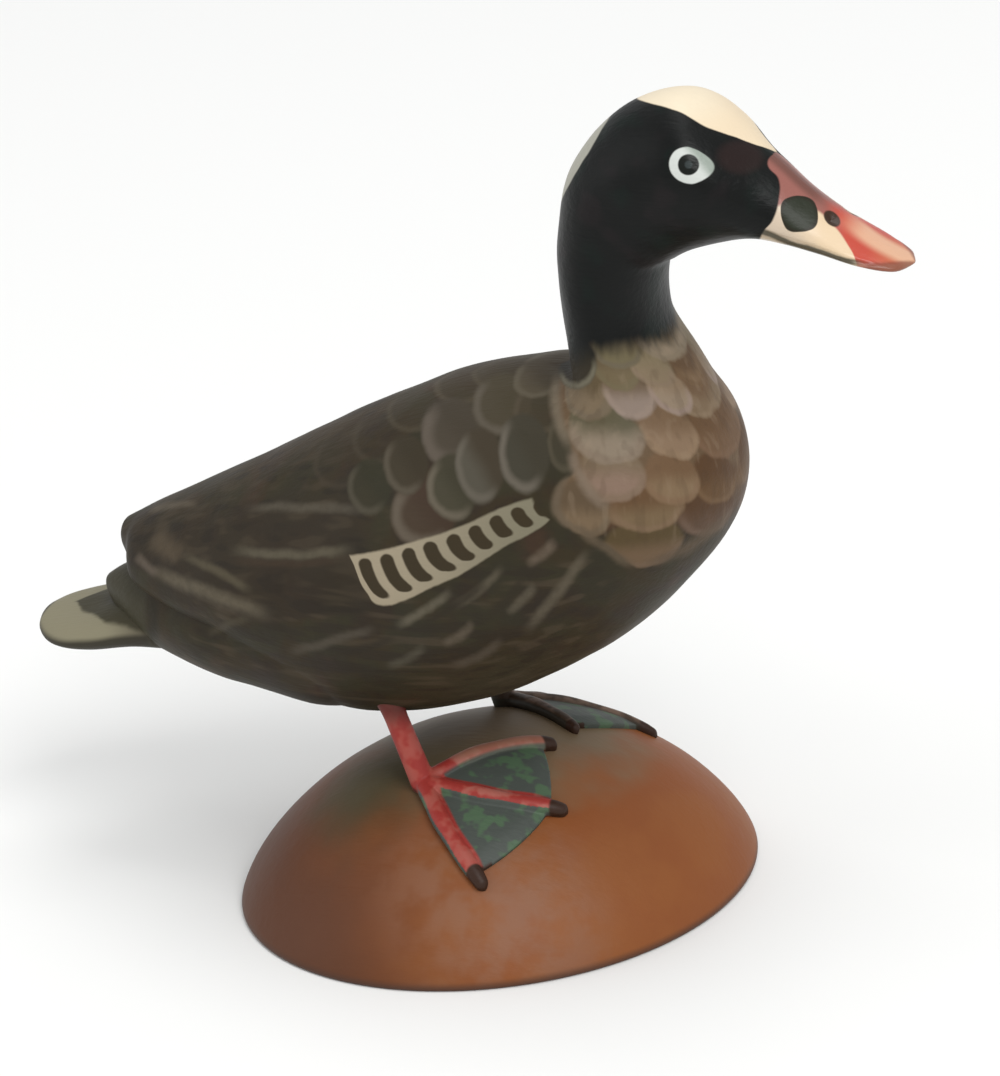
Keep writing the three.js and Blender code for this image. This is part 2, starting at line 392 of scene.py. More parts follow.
def make_group(
    name: str,
    inputs: dict[str, object],
    outputs: tuple[str, ...],
    build: Callable[[Brushwork, dict[str, Wire]], tuple[Wire, ...]],
) -> bpy.types.NodeTree:
    """Makes a node group with named inputs and outputs.

    Args:
        name: the group's name.
        inputs: its inputs with their usual values; a tuple makes a vector input.
        outputs: the names of the values that it puts out.
        build: lays its nodes and returns a wire for each output.

    Returns:
        The group.
    """
    tree = bpy.data.node_groups.new(name, "ShaderNodeTree")
    for key, value in inputs.items():
        kind = "NodeSocketVector" if isinstance(value, tuple) else "NodeSocketFloat"
        socket = tree.interface.new_socket(key, in_out="INPUT", socket_type=kind)
        if not isinstance(value, tuple):
            socket.default_value = value
    for key in outputs:
        tree.interface.new_socket(key, in_out="OUTPUT", socket_type="NodeSocketFloat")
    work = Brushwork(tree)
    entry = tree.nodes.new("NodeGroupInput")
    given = {key: Wire(work, entry.outputs[key]) for key in inputs}
    results = build(work, given)
    end = tree.nodes.new("NodeGroupOutput")
    for key, result in zip(outputs, results):
        work.plug(end.inputs[key], result)
    return tree


class Effects:
    """The paint effects that the materials share, each a node group."""

    def __init__(self) -> None:
        """Builds the groups."""
        flat = (0.0, 0.0, 0.0)
        self.feather = make_group(
            "single painted feather",
            {"Place": flat, "Centre": flat, "Half Size": flat, "Tip": flat, "Rim": 0.3},
            ("Inside", "Edge", "Shade"),
            self._feather,
        )
        self.stroke = make_group(
            "single brush stroke",
            {"Place": flat, "Start": flat, "Run": flat, "Side": flat, "Bow": 0.0, "Width": 1.0},
            ("Stroke",),
            self._stroke,
        )
        self.streaks = make_group(
            "long faint streaks",
            {"Place": flat, "Stretch": flat, "Seed": flat},
            ("Streak",),
            self._streaks,
        )
        self.brushed = make_group(
            "brushed paint over wood",
            {"Place": flat, "Grain": 1.0, "Seed": 0.0},
            ("Tone", "Height"),
            self._brushed,
        )

    @staticmethod
    def _feather(work: Brushwork, given: dict[str, Wire]) -> tuple[Wire, ...]:
        """Lays one oval feather: its inside, the edge round its tip and its shade towards it."""
        moved = work.vector_math("SUBTRACT", given["Place"], given["Centre"])
        shares = work.vector_math("DIVIDE", moved, given["Half Size"])
        reach = work.vector_math("LENGTH", shares)
        towards_tip = work.vector_math("DOT_PRODUCT", shares, given["Tip"])
        inside = work.step(reach, 1.1, 0.88)
        edge = work.step((reach - 1.0) / given["Rim"], -1.1, -0.35)
        facing = work.step(towards_tip / reach, -0.35, 0.5)
        shade = work.scale(towards_tip, -0.9, 0.9, 0.0, 1.0)
        return inside, work.both(edge, facing, inside), shade

    @staticmethod
    def _stroke(work: Brushwork, given: dict[str, Wire]) -> tuple[Wire, ...]:
        """Lays one bowed brush stroke that fades out at both ends."""
        moved = work.vector_math("SUBTRACT", given["Place"], given["Start"])
        along = work.vector_math("DOT_PRODUCT", moved, given["Run"])
        arch = along * (1.0 - along)
        aside = abs(work.vector_math("DOT_PRODUCT", moved, given["Side"]) - arch * given["Bow"])
        body = work.step(aside / given["Width"], 0.78, 0.05)
        return (body * work.step(arch, 0.0, 0.2),)

    @staticmethod
    def _streaks(work: Brushwork, given: dict[str, Wire]) -> tuple[Wire, ...]:
        """Lays faint streaks, drawn out along the axis with the least stretch."""
        moved = work.vector_math("ADD", given["Place"], given["Seed"])
        drawn = work.vector_math("MULTIPLY", moved, given["Stretch"])
        return (work.noise(drawn, 1.0, detail=1.0, rough=0.45),)

    @staticmethod
    def _brushed(work: Brushwork, given: dict[str, Wire]) -> tuple[Wire, ...]:
        """Gives paint its cloudy tone and the height of its brush marks and the grain."""
        moved = work.vector_math("ADD", given["Place"], work.vector(given["Seed"], 0.0))
        cloud = work.noise(moved, 5.0, detail=3.0, rough=0.6)
        drawn = work.vector_math("MULTIPLY", moved, (0.16, 1.0, 1.0))
        marks = work.noise(drawn, 0.55, detail=2.0, rough=0.55)
        height = marks * given["Grain"] + work.noise(moved, 2.4, detail=1.0) * 0.6
        return cloud, height


@dataclass
class Coat:
    """A painted material while it is being laid, coat over coat."""

    name: str
    ground: Colour
    effects: Effects

    def __post_init__(self) -> None:
        """Starts the material with its ground colour and its coordinates in millimetres."""
        self.material = bpy.data.materials.new(self.name)
        self.material.use_nodes = True
        self.material.node_tree.nodes.clear()
        self.work = Brushwork(self.material.node_tree)
        place = self.work.node("TexCoord", {}, outlet="Object")
        self.place = self.work.node("VectorMath", {0: place, "Scale": 1 / MM}, operation="SCALE")
        self.x, self.y, self.z = (
            self.work.node("SeparateXYZ", {0: self.place}, outlet=index) for index in range(3)
        )
        self.colour: object = self.ground
        self.rough: object = 0.5
        self.varnish: object = 0.0

    def lay(self, colour: object, share: object) -> None:
        """Lays a colour over what is there by a share."""
        self.colour = self.work.mix(share, self.colour, colour)

    def gloss(self, rough: float, share: Wire) -> None:
        """Changes the roughness by a share."""
        under = self.rough
        if isinstance(under, float):
            self.rough = share * (rough - under) + under
        else:
            self.rough = under + share * (rough - under)

    def finish(self, height: Wire, depth: float, specular: float) -> bpy.types.Material:
        """Ends the material with its shader.

        Args:
            height: the paint's relief.
            depth: how deep that relief is in metres.
            specular: the level of the plain reflection.

        Returns:
            The material.
        """
        work = self.work
        bump = work.node("Bump", {"Height": height, "Distance": depth, "Strength": 1.0})
        plugs = {
            "Base Color": self.colour, "Roughness": self.rough, "Normal": bump,
            "Coat Weight": self.varnish, "Coat Roughness": 0.22, "Specular IOR Level": specular,
        }
        work.node("OutputMaterial", {"Surface": work.node("BsdfPrincipled", plugs)})
        return self.material


@dataclass(frozen=True)
class Oval:
    """An oval painted mark: its middle and its half sizes."""

    centre: Point
    half: Point

    def offsets(self, across: Wire, along: Wire) -> tuple[Wire, Wire]:
        """Gives how far a place lies from the middle, in half sizes."""
        return (across - self.centre[0]) / self.half[0], (along - self.centre[1]) / self.half[1]


# The carved bird


@dataclass(frozen=True)
class Section:
    """A section across the bird from its back line to its belly line, as (x, z) points."""

    back: Point
    belly: Point
    half_width: float
    widest_at: float = 0.5
    fullness: float = 2.0
    top_fullness: float = 2.0


@dataclass
class CarvedSkin:
    """A skin through sections, rounded over at both ends."""

    name: str
    sections: tuple[Section, ...]
    rings_per_section: int = 12
    sides: int = 128
    start_round: float = 0.4
    end_round: float = 0.4
    round_rings: int = 8

    def _stations(self) -> tuple[np.ndarray, np.ndarray]:
        """Places the rings along the sections.

        Returns:
            Where each ring stands and how much of its size it keeps.
        """
        last = len(self.sections) - 1
        turn = np.linspace(0.0, math.pi / 2, self.round_rings + 1)
        start = self.start_round * (1 - np.cos(turn))
        end = last - self.end_round * (1 - np.cos(turn[::-1]))
        middle = np.linspace(start[-1], end[0], last * self.rings_per_section)[1:-1]
        stations = np.concatenate([start, middle, end])
        sizes = np.concatenate([np.sin(turn), np.ones(len(middle)), np.sin(turn[::-1])])
        return stations, sizes

    def build(self) -> bpy.types.Object:
        """Builds the skin.

        Returns:
            The closed piece.
        """
        lines = np.array([
            (*s.back, *s.belly, s.half_width, s.widest_at, s.fullness, s.top_fullness) for s in self.sections
        ])
        stations, sizes = self._stations()

        def surface(around: np.ndarray, along: np.ndarray) -> np.ndarray:
            """Gives the places on the skin."""
            index = np.rint(along * (len(stations) - 1)).astype(int)
            rows = curve_through(lines, stations[index])
            size = sizes[index]
            back, belly = rows[:, 0:2], rows[:, 2:4]
            half_width, widest_at = rows[:, 4], rows[:, 5]
            angle = around * 2 * math.pi
            fullness = np.where(np.cos(angle) > 0, rows[:, 7], rows[:, 6])
            up = signed_power(np.cos(angle), 2 / fullness)
            side = signed_power(np.sin(angle), 2 / fullness)
            share = np.where(up > 0, widest_at + (1 - widest_at) * up, widest_at * (1 + up))
            share = widest_at + (share - widest_at) * size
            line = belly + (back - belly) * share[:, None]
            return np.column_stack([line[:, 0], -half_width * side * size, line[:, 1]])

        return wrapped_sheet(self.name, self.sides, len(stations) - 1, surface)


BODY_SECTIONS = tuple(Section(*row) for row in (
    ((-45.9, 42.0), (-44.3, 38.6), 2.4),
    ((-44.0, 43.1), (-42.5, 37.3), 5.0, 0.42),
    ((-40.4, 45.0), (-40.0, 35.2), 9.2, 0.36),
    ((-28.4, 50.9), (-27.2, 29.5), 15.0, 0.45),
    ((-14.6, 58.2), (-14.6, 22.6), 18.2, 0.48),
    ((-1.0, 64.4), (-1.4, 24.0), 19.6),
    ((8.8, 66.9), (11.0, 29.2), 19.7, 0.52),
    ((13.5, 67.3), (22.8, 37.2), 18.6, 0.52),
    ((15.3, 67.8), (32.2, 48.0), 16.2),
    ((16.0, 68.7), (34.0, 56.6), 13.2),
    ((15.3, 71.0), (31.1, 64.6), 10.1),
    ((14.9, 76.5), (26.6, 73.2), 8.7),
    ((14.8, 84.0), (27.0, 80.2), 8.3),
    ((17.0, 92.6), (28.9, 81.9), 8.4),
    ((23.2, 99.2), (31.5, 83.2), 8.8),
    ((30.2, 101.5), (35.6, 84.4), 9.0, 0.52),
    ((34.8, 99.4), (38.8, 84.9), 8.0),
    ((40.8, 94.5), (40.8, 84.8), 5.5, 0.45, 2.2, 1.75),
    ((46.3, 89.9), (45.9, 83.8), 4.8, 0.45, 2.2, 1.5),
    ((51.5, 86.0), (51.1, 83.0), 4.8, 0.45, 2.2, 1.85),
    ((55.0, 84.0), (54.9, 82.5), 3.4, 0.45, 2.2, 2.2),
    ((56.8, 83.4), (56.8, 82.6), 1.2),
))
RUMP_SECTIONS = tuple(Section(*row) for row in (
    ((-49.6, 33.9), (-45.0, 29.6), 2.0, 0.45),
    ((-46.8, 35.9), (-43.3, 28.6), 4.8, 0.45),
    ((-42.8, 38.0), (-40.0, 27.2), 8.0),
    ((-36.0, 40.6), (-33.9, 25.6), 11.6),
    ((-28.4, 43.5), (-26.8, 24.15), 14.2),
    ((-14.6, 46.0), (-14.6, 22.9), 16.4),
    ((-2.0, 44.0), (-2.0, 27.5), 14.5),
))
TAIL_SECTIONS = tuple(Section(*row) for row in (
    ((-57.6, 29.5), (-57.6, 28.4), 1.4),
    ((-56.3, 30.0), (-56.3, 27.6), 4.9, 0.45, 2.2, 2.2),
    ((-53.2, 30.5), (-53.2, 26.95), 7.8, 0.45, 2.2, 2.2),
    ((-48.6, 31.7), (-48.2, 26.9), 8.8, 0.45, 2.2, 2.2),
    ((-42.0, 34.1), (-41.6, 27.6), 8.6, 0.45, 2.2, 2.2),
    ((-34.0, 35.7), (-35.5, 27.2), 8.2, 0.5, 2.2, 2.2),
))

# The plan that the feathers are laid out on: the bird's right side as seen from
# in front and above. Both sides of the bird are painted from it.
PLAN_RIGHT = (0.9063, 0.4226, 0.0)
PLAN_UP = (-0.1919, 0.4115, 0.8910)

MOUTH_LINE = (
    (33.6, 68.2), (35.1, 67.8), (37.9, 66.4), (40.9, 65.1), (43.9, 63.7), (45.6, 63.2), (47.5, 62.9),
)
NOSTRIL = (42.7, 68.7)
LEFT_MARKS_DROP = 1.3


def plan_of(places: np.ndarray) -> tuple[np.ndarray, np.ndarray]:
    """Gives the plan coordinates of places on either side of the bird."""
    near = places * [1, 0, 1] - np.abs(places) * [0, 1, 0]
    return near @ np.array(PLAN_RIGHT), near @ np.array(PLAN_UP)


@dataclass(frozen=True)
class LaidFeather:
    """One painted feather: its place, its half sizes and its colours from base to edge."""

    centre: Point
    half: Point
    base: Colour
    tip: Colour
    edge: Colour
    rim: float = 0.3
    strength: float = 1.0


@dataclass(frozen=True)
class PaintedStroke:
    """One stroke on the plan: its ends, how far it bows to its left, its width and colour."""

    start: Point
    end: Point
    bow: float
    width: float
    colour: Colour
    strength: float = 0.85


# The shoulder feathers from the rear to the front, each over the one before.
SHOULDER_FEATHERS = tuple(LaidFeather(*row) for row in (
    ((-14.6, 48.8), (3.0, 3.4), (52, 43, 32), (54, 45, 34), (78, 68, 54), 0.3, 0.35),
    ((-9.9, 51.0), (3.0, 3.4), (52, 43, 32), (56, 48, 34), (80, 71, 56), 0.3, 0.4),
    ((-5.6, 54.0), (3.0, 3.0), (58, 54, 38), (60, 52, 38), (84, 75, 58), 0.3, 0.5),
    ((0.3, 56.4), (3.2, 3.0), (64, 54, 40), (66, 58, 42), (88, 78, 62), 0.3, 0.6),
    ((4.6, 57.4), (3.0, 2.6), (64, 56, 40), (70, 62, 46), (86, 77, 60), 0.3, 0.5),
    ((-11.2, 45.3), (2.5, 3.3), (50, 48, 32), (56, 52, 36), (84, 78, 64), 0.34, 0.8),
    ((-5.2, 41.4), (3.7, 4.0), (66, 50, 37), (72, 58, 44), (106, 96, 82), 0.42, 0.95),
    ((-6.8, 47.3), (2.6, 3.4), (58, 50, 35), (64, 56, 41), (92, 84, 70), 0.34, 0.9),
    ((-1.2, 50.4), (3.5, 4.2), (68, 60, 48), (74, 66, 54), (101, 91, 80), 0.5, 0.95),
    ((-1.7, 44.0), (2.9, 3.9), (60, 56, 40), (70, 66, 50), (110, 101, 86), 0.34, 0.95),
    ((4.8, 53.0), (3.4, 3.9), (70, 62, 44), (74, 66, 50), (97, 89, 77), 0.34, 0.9),
    ((8.8, 51.8), (2.9, 3.0), (66, 57, 40), (68, 58, 42), (88, 78, 62), 0.3, 0.6),
    ((9.0, 55.6), (2.7, 2.5), (72, 63, 47), (85, 76, 59), (98, 90, 74), 0.34, 0.7),
    ((1.7, 46.0), (2.8, 4.5), (66, 57, 43), (84, 79, 67), (103, 96, 84), 0.32, 0.95),
    ((6.8, 46.9), (2.9, 4.7), (62, 57, 44), (66, 62, 50), (112, 104, 92), 0.34, 0.95),
    ((11.3, 47.4), (1.9, 3.4), (66, 62, 46), (72, 66, 50), (92, 84, 68), 0.34, 0.5),
))
SHOULDER_TIP = (-0.82, -0.57, 0.0)

# The breast feathers from the lowest to the highest. Their places are measured round the
# breast from its middle and up it, with the bottom of each feather at its tip.
BREAST_FEATHERS = tuple(LaidFeather(*row) for row in (
    ((14.9, 48.0), (4.8, 3.2), (88, 72, 45), (112, 90, 67), (114, 93, 73)),
    ((6.2, 51.1), (4.8, 3.2), (85, 60, 38), (93, 70, 52), (110, 89, 73)),
    ((21.6, 52.7), (3.4, 3.2), (96, 79, 59), (122, 102, 78), (110, 95, 75)),
    ((14.3, 52.7), (4.3, 3.0), (102, 76, 51), (121, 100, 73), (129, 105, 81)),
    ((4.6, 55.0), (3.9, 3.1), (90, 64, 40), (102, 76, 49), (115, 89, 62)),
    ((10.9, 55.6), (3.6, 3.1), (114, 88, 63), (133, 110, 83), (128, 101, 76)),
    ((17.7, 56.7), (3.7, 3.1), (120, 102, 80), (139, 115, 98), (128, 108, 88)),
    ((2.5, 60.3), (3.9, 3.0), (105, 79, 54), (113, 87, 63), (121, 94, 71)),
    ((9.2, 60.6), (3.8, 3.0), (120, 96, 72), (141, 117, 93), (146, 122, 96)),
    ((17.7, 60.6), (4.9, 3.0), (92, 85, 63), (141, 126, 107), (133, 116, 98)),
    ((19.7, 64.1), (4.3, 2.6), (99, 84, 60), (123, 106, 83), (114, 101, 82)),
    ((3.4, 64.6), (3.4, 2.6), (113, 89, 65), (127, 107, 83), (138, 118, 94)),
    ((12.8, 64.7), (3.7, 2.8), (109, 91, 71), (144, 127, 114), (152, 134, 120)),
    ((6.7, 65.1), (3.3, 2.8), (140, 119, 95), (151, 133, 112), (155, 135, 124)),
    ((13.9, 67.5), (3.7, 2.6), (97, 82, 61), (114, 100, 74), (114, 103, 77)),
    ((0.1, 67.5), (3.7, 2.0), (101, 78, 55), (125, 101, 75), (112, 88, 62)),
    ((7.9, 67.7), (3.8, 2.4), (131, 117, 91), (137, 120, 96), (139, 120, 99)),
    ((13.2, 69.2), (4.1, 2.0), (110, 98, 74), (113, 103, 76), (109, 99, 81)),
    ((4.7, 70.8), (4.9, 2.4), (93, 76, 51), (148, 132, 110), (136, 122, 101)),
))
NECK_FEATHER = LaidFeather((13.6, 56.2), (2.1, 2.7), (40, 36, 26), (54, 47, 33), (126, 120, 101), 0.36)
DOWN = (0.0, -1.0, 0.0)

WING_STROKES = tuple(PaintedStroke(*row) for row in (
    ((-39.0, 39.6), (-23.2, 31.7), -0.2, 1.7, (100, 91, 74), 0.95),
    ((-34.3, 40.6), (-25.5, 34.7), 0.2, 1.1, (88, 80, 62)),
    ((-37.3, 44.3), (-33.7, 39.8), -0.6, 3.0, (86, 74, 57)),
    ((-39.9, 41.6), (-37.0, 38.2), -0.2, 1.1, (98, 87, 74)),
    ((-28.8, 40.3), (-12.8, 38.3), -0.7, 1.3, (96, 89, 72)),
    ((-28.9, 39.1), (-14.7, 37.0), -0.3, 1.0, (63, 50, 36)),
    ((-26.6, 44.8), (-11.2, 42.3), 0.4, 1.2, (86, 79, 66)),
    ((-26.8, 42.4), (-14.9, 42.1), -0.4, 1.3, (48, 40, 29)),
    ((-38.6, 46.6), (-31.5, 46.5), 0.2, 1.1, (90, 80, 65)),
    # Painted shade: a dark stroke just under the overhanging wing tip.
    ((-38.3, 38.3), (-32.4, 34.7), -0.8, 1.1, (50, 42, 30)),
    # Painted shade: a dark stroke in the crease where the tail meets the rump.
    ((-38.4, 36.2), (-38.6, 30.6), 0.1, 1.5, (42, 38, 27)),
))
FLANK_STROKES = tuple(PaintedStroke(*row) for row in (
    ((-32.3, 30.8), (-25.9, 32.1), 0.2, 1.0, (74, 66, 50)),
    ((-22.8, 27.5), (-11.4, 29.2), 0.0, 1.1, (83, 75, 63)),
    ((-9.9, 28.8), (-2.4, 32.4), -0.2, 1.1, (99, 92, 76), 0.95),
    ((-3.1, 30.3), (3.5, 34.6), -0.5, 1.1, (92, 84, 68)),
    ((-11.3, 24.7), (-6.2, 26.5), -0.2, 1.1, (84, 78, 64)),
    ((-4.7, 26.5), (-0.4, 28.7), -0.4, 1.1, (98, 87, 72)),
    ((-4.3, 24.1), (2.8, 26.6), -0.6, 1.1, (86, 76, 63)),
    ((3.0, 29.1), (7.0, 32.0), -0.3, 1.1, (95, 87, 71)),
    ((4.7, 26.6), (13.3, 35.6), -0.3, 1.2, (96, 87, 71), 0.9),
    ((5.7, 34.1), (9.7, 36.7), -0.3, 1.2, (103, 90, 75), 0.9),
    ((-16.5, 26.8), (-9.5, 28.0), -0.2, 1.0, (46, 39, 28)),
    ((-7.0, 29.0), (1.5, 33.0), -0.5, 1.0, (48, 41, 29)),
    ((0.5, 28.6), (6.0, 33.2), -0.4, 1.1, (50, 43, 30)),
))
BREAST_STROKES = tuple(PaintedStroke(*row) for row in (
    ((11.5, 56.6), (12.1, 46.0), -1.0, 1.3, (118, 106, 88), 0.9),
    ((12.0, 47.2), (15.8, 39.3), -1.1, 1.4, (128, 112, 95), 0.9),
    ((12.4, 44.4), (13.1, 36.7), -3.0, 1.2, (104, 91, 74)),
    ((11.1, 38.6), (18.6, 32.8), -0.4, 1.1, (98, 84, 66)),
    ((18.7, 33.0), (30.4, 38.9), -0.9, 1.2, (94, 78, 60)),
))

# Edges of the painted areas on the plan, as (right, up) points. Those whose names end in
# _BY_UP are (up, right) points, and those that end in _BY_X are (x, z) points on the bird.
WING_EDGE = ((-42.0, 42.0), (-38.2, 38.4), (-31.5, 34.0), (-23.0, 31.0), (-10.0, 31.5))
TAIL_PALE_TOP = (
    (-53.0, 39.6), (-48.9, 37.8), (-47.5, 36.1), (-45.8, 35.0), (-44.6, 34.0), (-42.8, 33.5), (-39.5, 31.9),
)
TAIL_SHADE_LINE_BY_X = ((-58.0, 29.2), (-53.2, 28.9), (-48.6, 29.4), (-42.0, 30.8), (-38.0, 31.2))
BARS_FOOT = (
    (-15.0, 39.4), (-13.9, 37.0), (-12.5, 33.2), (-10.7, 31.5), (-8.8, 31.7), (-5.6, 32.8),
    (-2.4, 33.7), (0.7, 35.1), (3.9, 36.6), (6.2, 37.4), (8.6, 38.7), (10.0, 40.6),
)
BARS_HEAD = (
    (-15.0, 37.5), (-9.6, 37.8), (-5.1, 38.4), (-0.8, 39.4), (3.5, 40.7), (7.7, 41.6), (10.0, 41.8),
)
BREAST_REAR_BY_UP = (
    (31.0, 20.5), (32.8, 18.4), (36.0, 14.2), (38.4, 10.6), (40.5, 9.6), (42.6, 10.4), (44.6, 12.3),
    (46.4, 12.1), (51.1, 10.8), (55.5, 11.6), (58.0, 13.2), (62.0, 14.0),
)
NECK_EDGE_BY_X = ((12.0, 68.2), (15.5, 69.4), (18.5, 71.6), (23.0, 73.0), (28.0, 71.4), (33.0, 70.4))
BILL_ROOT_BY_UP = (
    (62.0, 34.0), (67.3, 34.7), (68.9, 36.1), (71.1, 37.0), (73.5, 37.2), (75.4, 36.2), (77.0, 38.0),
    (80.0, 42.0),
)
BILL_RED_EDGE = (
    (34.0, 71.0), (36.7, 70.5), (39.0, 70.6), (41.4, 69.5), (42.5, 68.2), (43.3, 67.1), (44.3, 65.0),
    (44.9, 62.8), (46.0, 58.0),
)
# The half width of the pale crown, as (x, half width) points.
CROWN_WIDTH = ((24.0, 3.6), (29.0, 5.2), (34.0, 5.4), (38.0, 3.6), (41.5, 2.0))


@dataclass(frozen=True)
class BirdPaint:
    """The bird's colours and the places of its painted marks."""

    olive: Colour = (56, 46, 28)
    umber: Colour = (50, 40, 29)
    moss: Colour = (50, 50, 33)
    russet: Colour = (74, 53, 38)
    belly: Colour = (68, 60, 42)
    back_painted_highlight: Colour = (62, 48, 30)
    wing_dark: Colour = (50, 41, 30)
    tail_olive: Colour = (66, 62, 45)
    tail_edge_shade: Colour = (58, 54, 44)
    tail_pale: Colour = (142, 136, 112)
    tail_root: Colour = (108, 101, 84)
    black: Colour = (14, 16, 15)
    black_green: Colour = (13, 24, 20)
    black_purple: Colour = (27, 22, 23)
    cheek: Colour = (44, 30, 28)
    cream: Colour = (246, 226, 194)
    crown_painted_highlight: Colour = (252, 240, 214)
    grey_white: Colour = (188, 186, 172)
    bar: Colour = (170, 157, 133)
    bar_end: Colour = (132, 126, 105)
    bar_gap: Colour = (60, 50, 32)
    breast: Colour = (104, 83, 60)
    breast_low: Colour = (84, 60, 40)
    bill_rose: Colour = (160, 102, 92)
    bill_red: Colour = (204, 80, 62)
    bill_orange: Colour = (206, 112, 78)
    bill_ridge_shade: Colour = (104, 68, 58)
    bill_root: Colour = (226, 206, 182)
    bill_cream: Colour = (240, 214, 178)
    bill_under: Colour = (196, 178, 150)
    bill_painted_highlight: Colour = (242, 198, 162)
    spot: Colour = (48, 52, 40)
    spot_edge: Colour = (40, 30, 20)
    nostril: Colour = (58, 38, 22)
    mouth: Colour = (92, 84, 66)
    mouth_end: Colour = (128, 62, 44)
    eye_white: Colour = (222, 226, 220)
    eye_grey: Colour = (160, 170, 160)
    eye_dark: Colour = (16, 17, 15)
    pupil: Colour = (26, 29, 26)
    pupil_painted_glint: Colour = (62, 70, 70)
    quill_light: Colour = (70, 60, 45)
    quill_dark: Colour = (38, 32, 24)
    flank_dark: Colour = (46, 38, 28)
    flank_light: Colour = (82, 70, 54)
    breast_fleck_dark: Colour = (72, 54, 36)
    breast_fleck_light: Colour = (166, 146, 122)
    # Spans and marks named for x, y or z are measured on the bird, and the others on the plan.
    back_y: Span = (9.0, 2.0)
    back_z: Span = (44.0, 54.0)
    belly_z: Span = (42.0, 30.0)
    belly_x: Span = (-8.0, 8.0)
    wing_front: Span = (-10.0, -14.0)
    wing_top: Span = (48.0, 43.0)
    quill_front: Span = (-3.0, -12.0)
    flank_top: Span = (37.0, 33.0)
    flank_front: Span = (17.0, 11.0)
    flank_rear: Span = (-38.0, -33.0)
    tail_x: Span = (-38.6, -40.0)
    tail_z: Span = (37.4, 36.4)
    tail_pale_end: Span = (-38.8, -39.6)
    tail_tip_x: Span = (-56.4, -57.1)
    breast_x: Span = (11.0, 13.0)
    neck_x: Span = (12.4, 13.2)
    crown_z: Span = (91.0, 92.0)
    crown_top_z: Span = (98.0, 101.0)
    nape_x: Span = (23.4, 22.4)
    eye_x: Span = (28.0, 29.0)
    eye_z: Span = (90.0, 91.0)
    bill_x: Span = (37.0, 37.6)
    cheek_mark: Oval = Oval((33.2, 76.2), (3.0, 2.2))
    nape_mark_zy: Oval = Oval((92.6, -0.6), (5.6, 4.4))
    bill_spot: Oval = Oval((39.15, 69.45), (2.1, 2.1))
    nostril_mark: Oval = Oval(NOSTRIL, (0.85, 0.95))
    crown_centre_xy: Point = (32.6, 1.4)
    crown_length: float = 8.0
    eye_centre: Point = (27.5, 75.5)
    pupil_centre: Point = (27.3, 75.6)
    # The breast is measured round an upright axis, on rows that climb towards the side.
    breast_axis: float = 14.0
    breast_radius: float = 19.0
    breast_climb: float = 0.42
    breast_ease: float = 0.0105
    bar_pitch: float = 2.54
    bar_gap_half: float = 0.78
    bar_foot: float = 0.75
    bar_head: float = 0.45
    bar_start: float = -13.9
    bar_count: float = 8.4
    # How far apart the painted edges wander, and the finish of the paint.
    sway_size: float = 7.0
    swell_size: float = 4.3
    rough: float = 0.52
    head_rough: float = 0.42
    bill_rough: float = 0.36
    eye_rough: float = 0.3
    grain: float = 0.5
    relief: float = 0.00012
    sheen: float = 0.16

    def material(self, effects: Effects) -> bpy.types.Material:
        """Paints the bird.

        Args:
            effects: the shared paint effects.

        Returns:
            The material.
        """
        coat = Coat("painted bird", self.olive, effects)
        work = coat.work
        near = work.vector(coat.x, abs(coat.y) * -1.0, coat.z)
        plain_u = work.vector_math("DOT_PRODUCT", near, PLAN_RIGHT)
        plain_v = work.vector_math("DOT_PRODUCT", near, PLAN_UP)
        sway = work.noise(coat.place, self.sway_size, detail=3.0, rough=0.6) - 0.5
        swell = work.noise(coat.place, self.swell_size, detail=3.0, rough=0.6) - 0.5
        u, v = plain_u + sway * 1.0, plain_v + swell * 1.0
        brushed = work.use(effects.brushed, Place=coat.place, Grain=self.grain)
        self._ground(coat, brushed["Tone"])
        self._wing(coat, u, v)
        self._tail(coat, u, v)
        self._shoulder(coat, work.vector(u, v))
        self._strokes(coat, work.vector(u, v), WING_STROKES + FLANK_STROKES)
        self._bars(coat, plain_u + sway * 0.5, plain_v + swell * 0.5)
        self._breast(coat, u, v, sway, swell)
        coat.rough = self.rough
        self._head(coat, plain_u, plain_v)
        self._bill(coat, plain_u + sway * 0.4, plain_v + swell * 0.4)
        self._eye(coat, plain_u + sway * 0.3, plain_v + swell * 0.3)
        return coat.finish(brushed["Height"], self.relief, self.sheen)

    def _ground(self, coat: Coat, tone: Wire) -> None:
        """Lays the mottled olive brown ground, lighter along the belly, with a painted highlight along the
        top of the back.
        """
        work = coat.work
        coat.lay(self.umber, work.step(tone, 0.40, 0.62))
        coat.lay(self.russet, work.step(work.noise(coat.place, 8.0, 3.0), 0.56, 0.70) * 0.5)
        coat.lay(self.moss, work.step(work.noise(coat.place, 6.0, 3.0), 0.60, 0.42) * 0.5)
        # Painted highlight: slightly lighter paint along the top of the back, where the light from above
        # falls.
        back = work.both(work.step(abs(coat.y), *self.back_y), work.step(coat.z, *self.back_z), 0.6)
        coat.lay(self.back_painted_highlight, back)
        under = work.both(work.step(coat.z, *self.belly_z), work.step(coat.x, *self.belly_x), 0.8)
        coat.lay(self.belly, under)

    def _lay_feather(
        self, coat: Coat, place: Wire, feather: LaidFeather, tip: Place, share: "Wire | float"
    ) -> None:
        """Lays one feather.

        Args:
            coat: the paint.
            place: where it is read.
            feather: the feather.
            tip: the direction that it points in.
            share: how much of it shows.
        """
        masks = coat.work.use(
            coat.effects.feather, Place=place, Centre=(*feather.centre, 0.0),
            Half_Size=(*feather.half, 1.0), Tip=tip, Rim=feather.rim,
        )
        body = coat.work.mix(coat.work.step(masks["Shade"], 0.3, 0.75), feather.base, feather.tip)
        coat.lay(body, masks["Inside"] * share * feather.strength)
        coat.lay(feather.edge, masks["Edge"] * share * (0.8 * feather.strength))

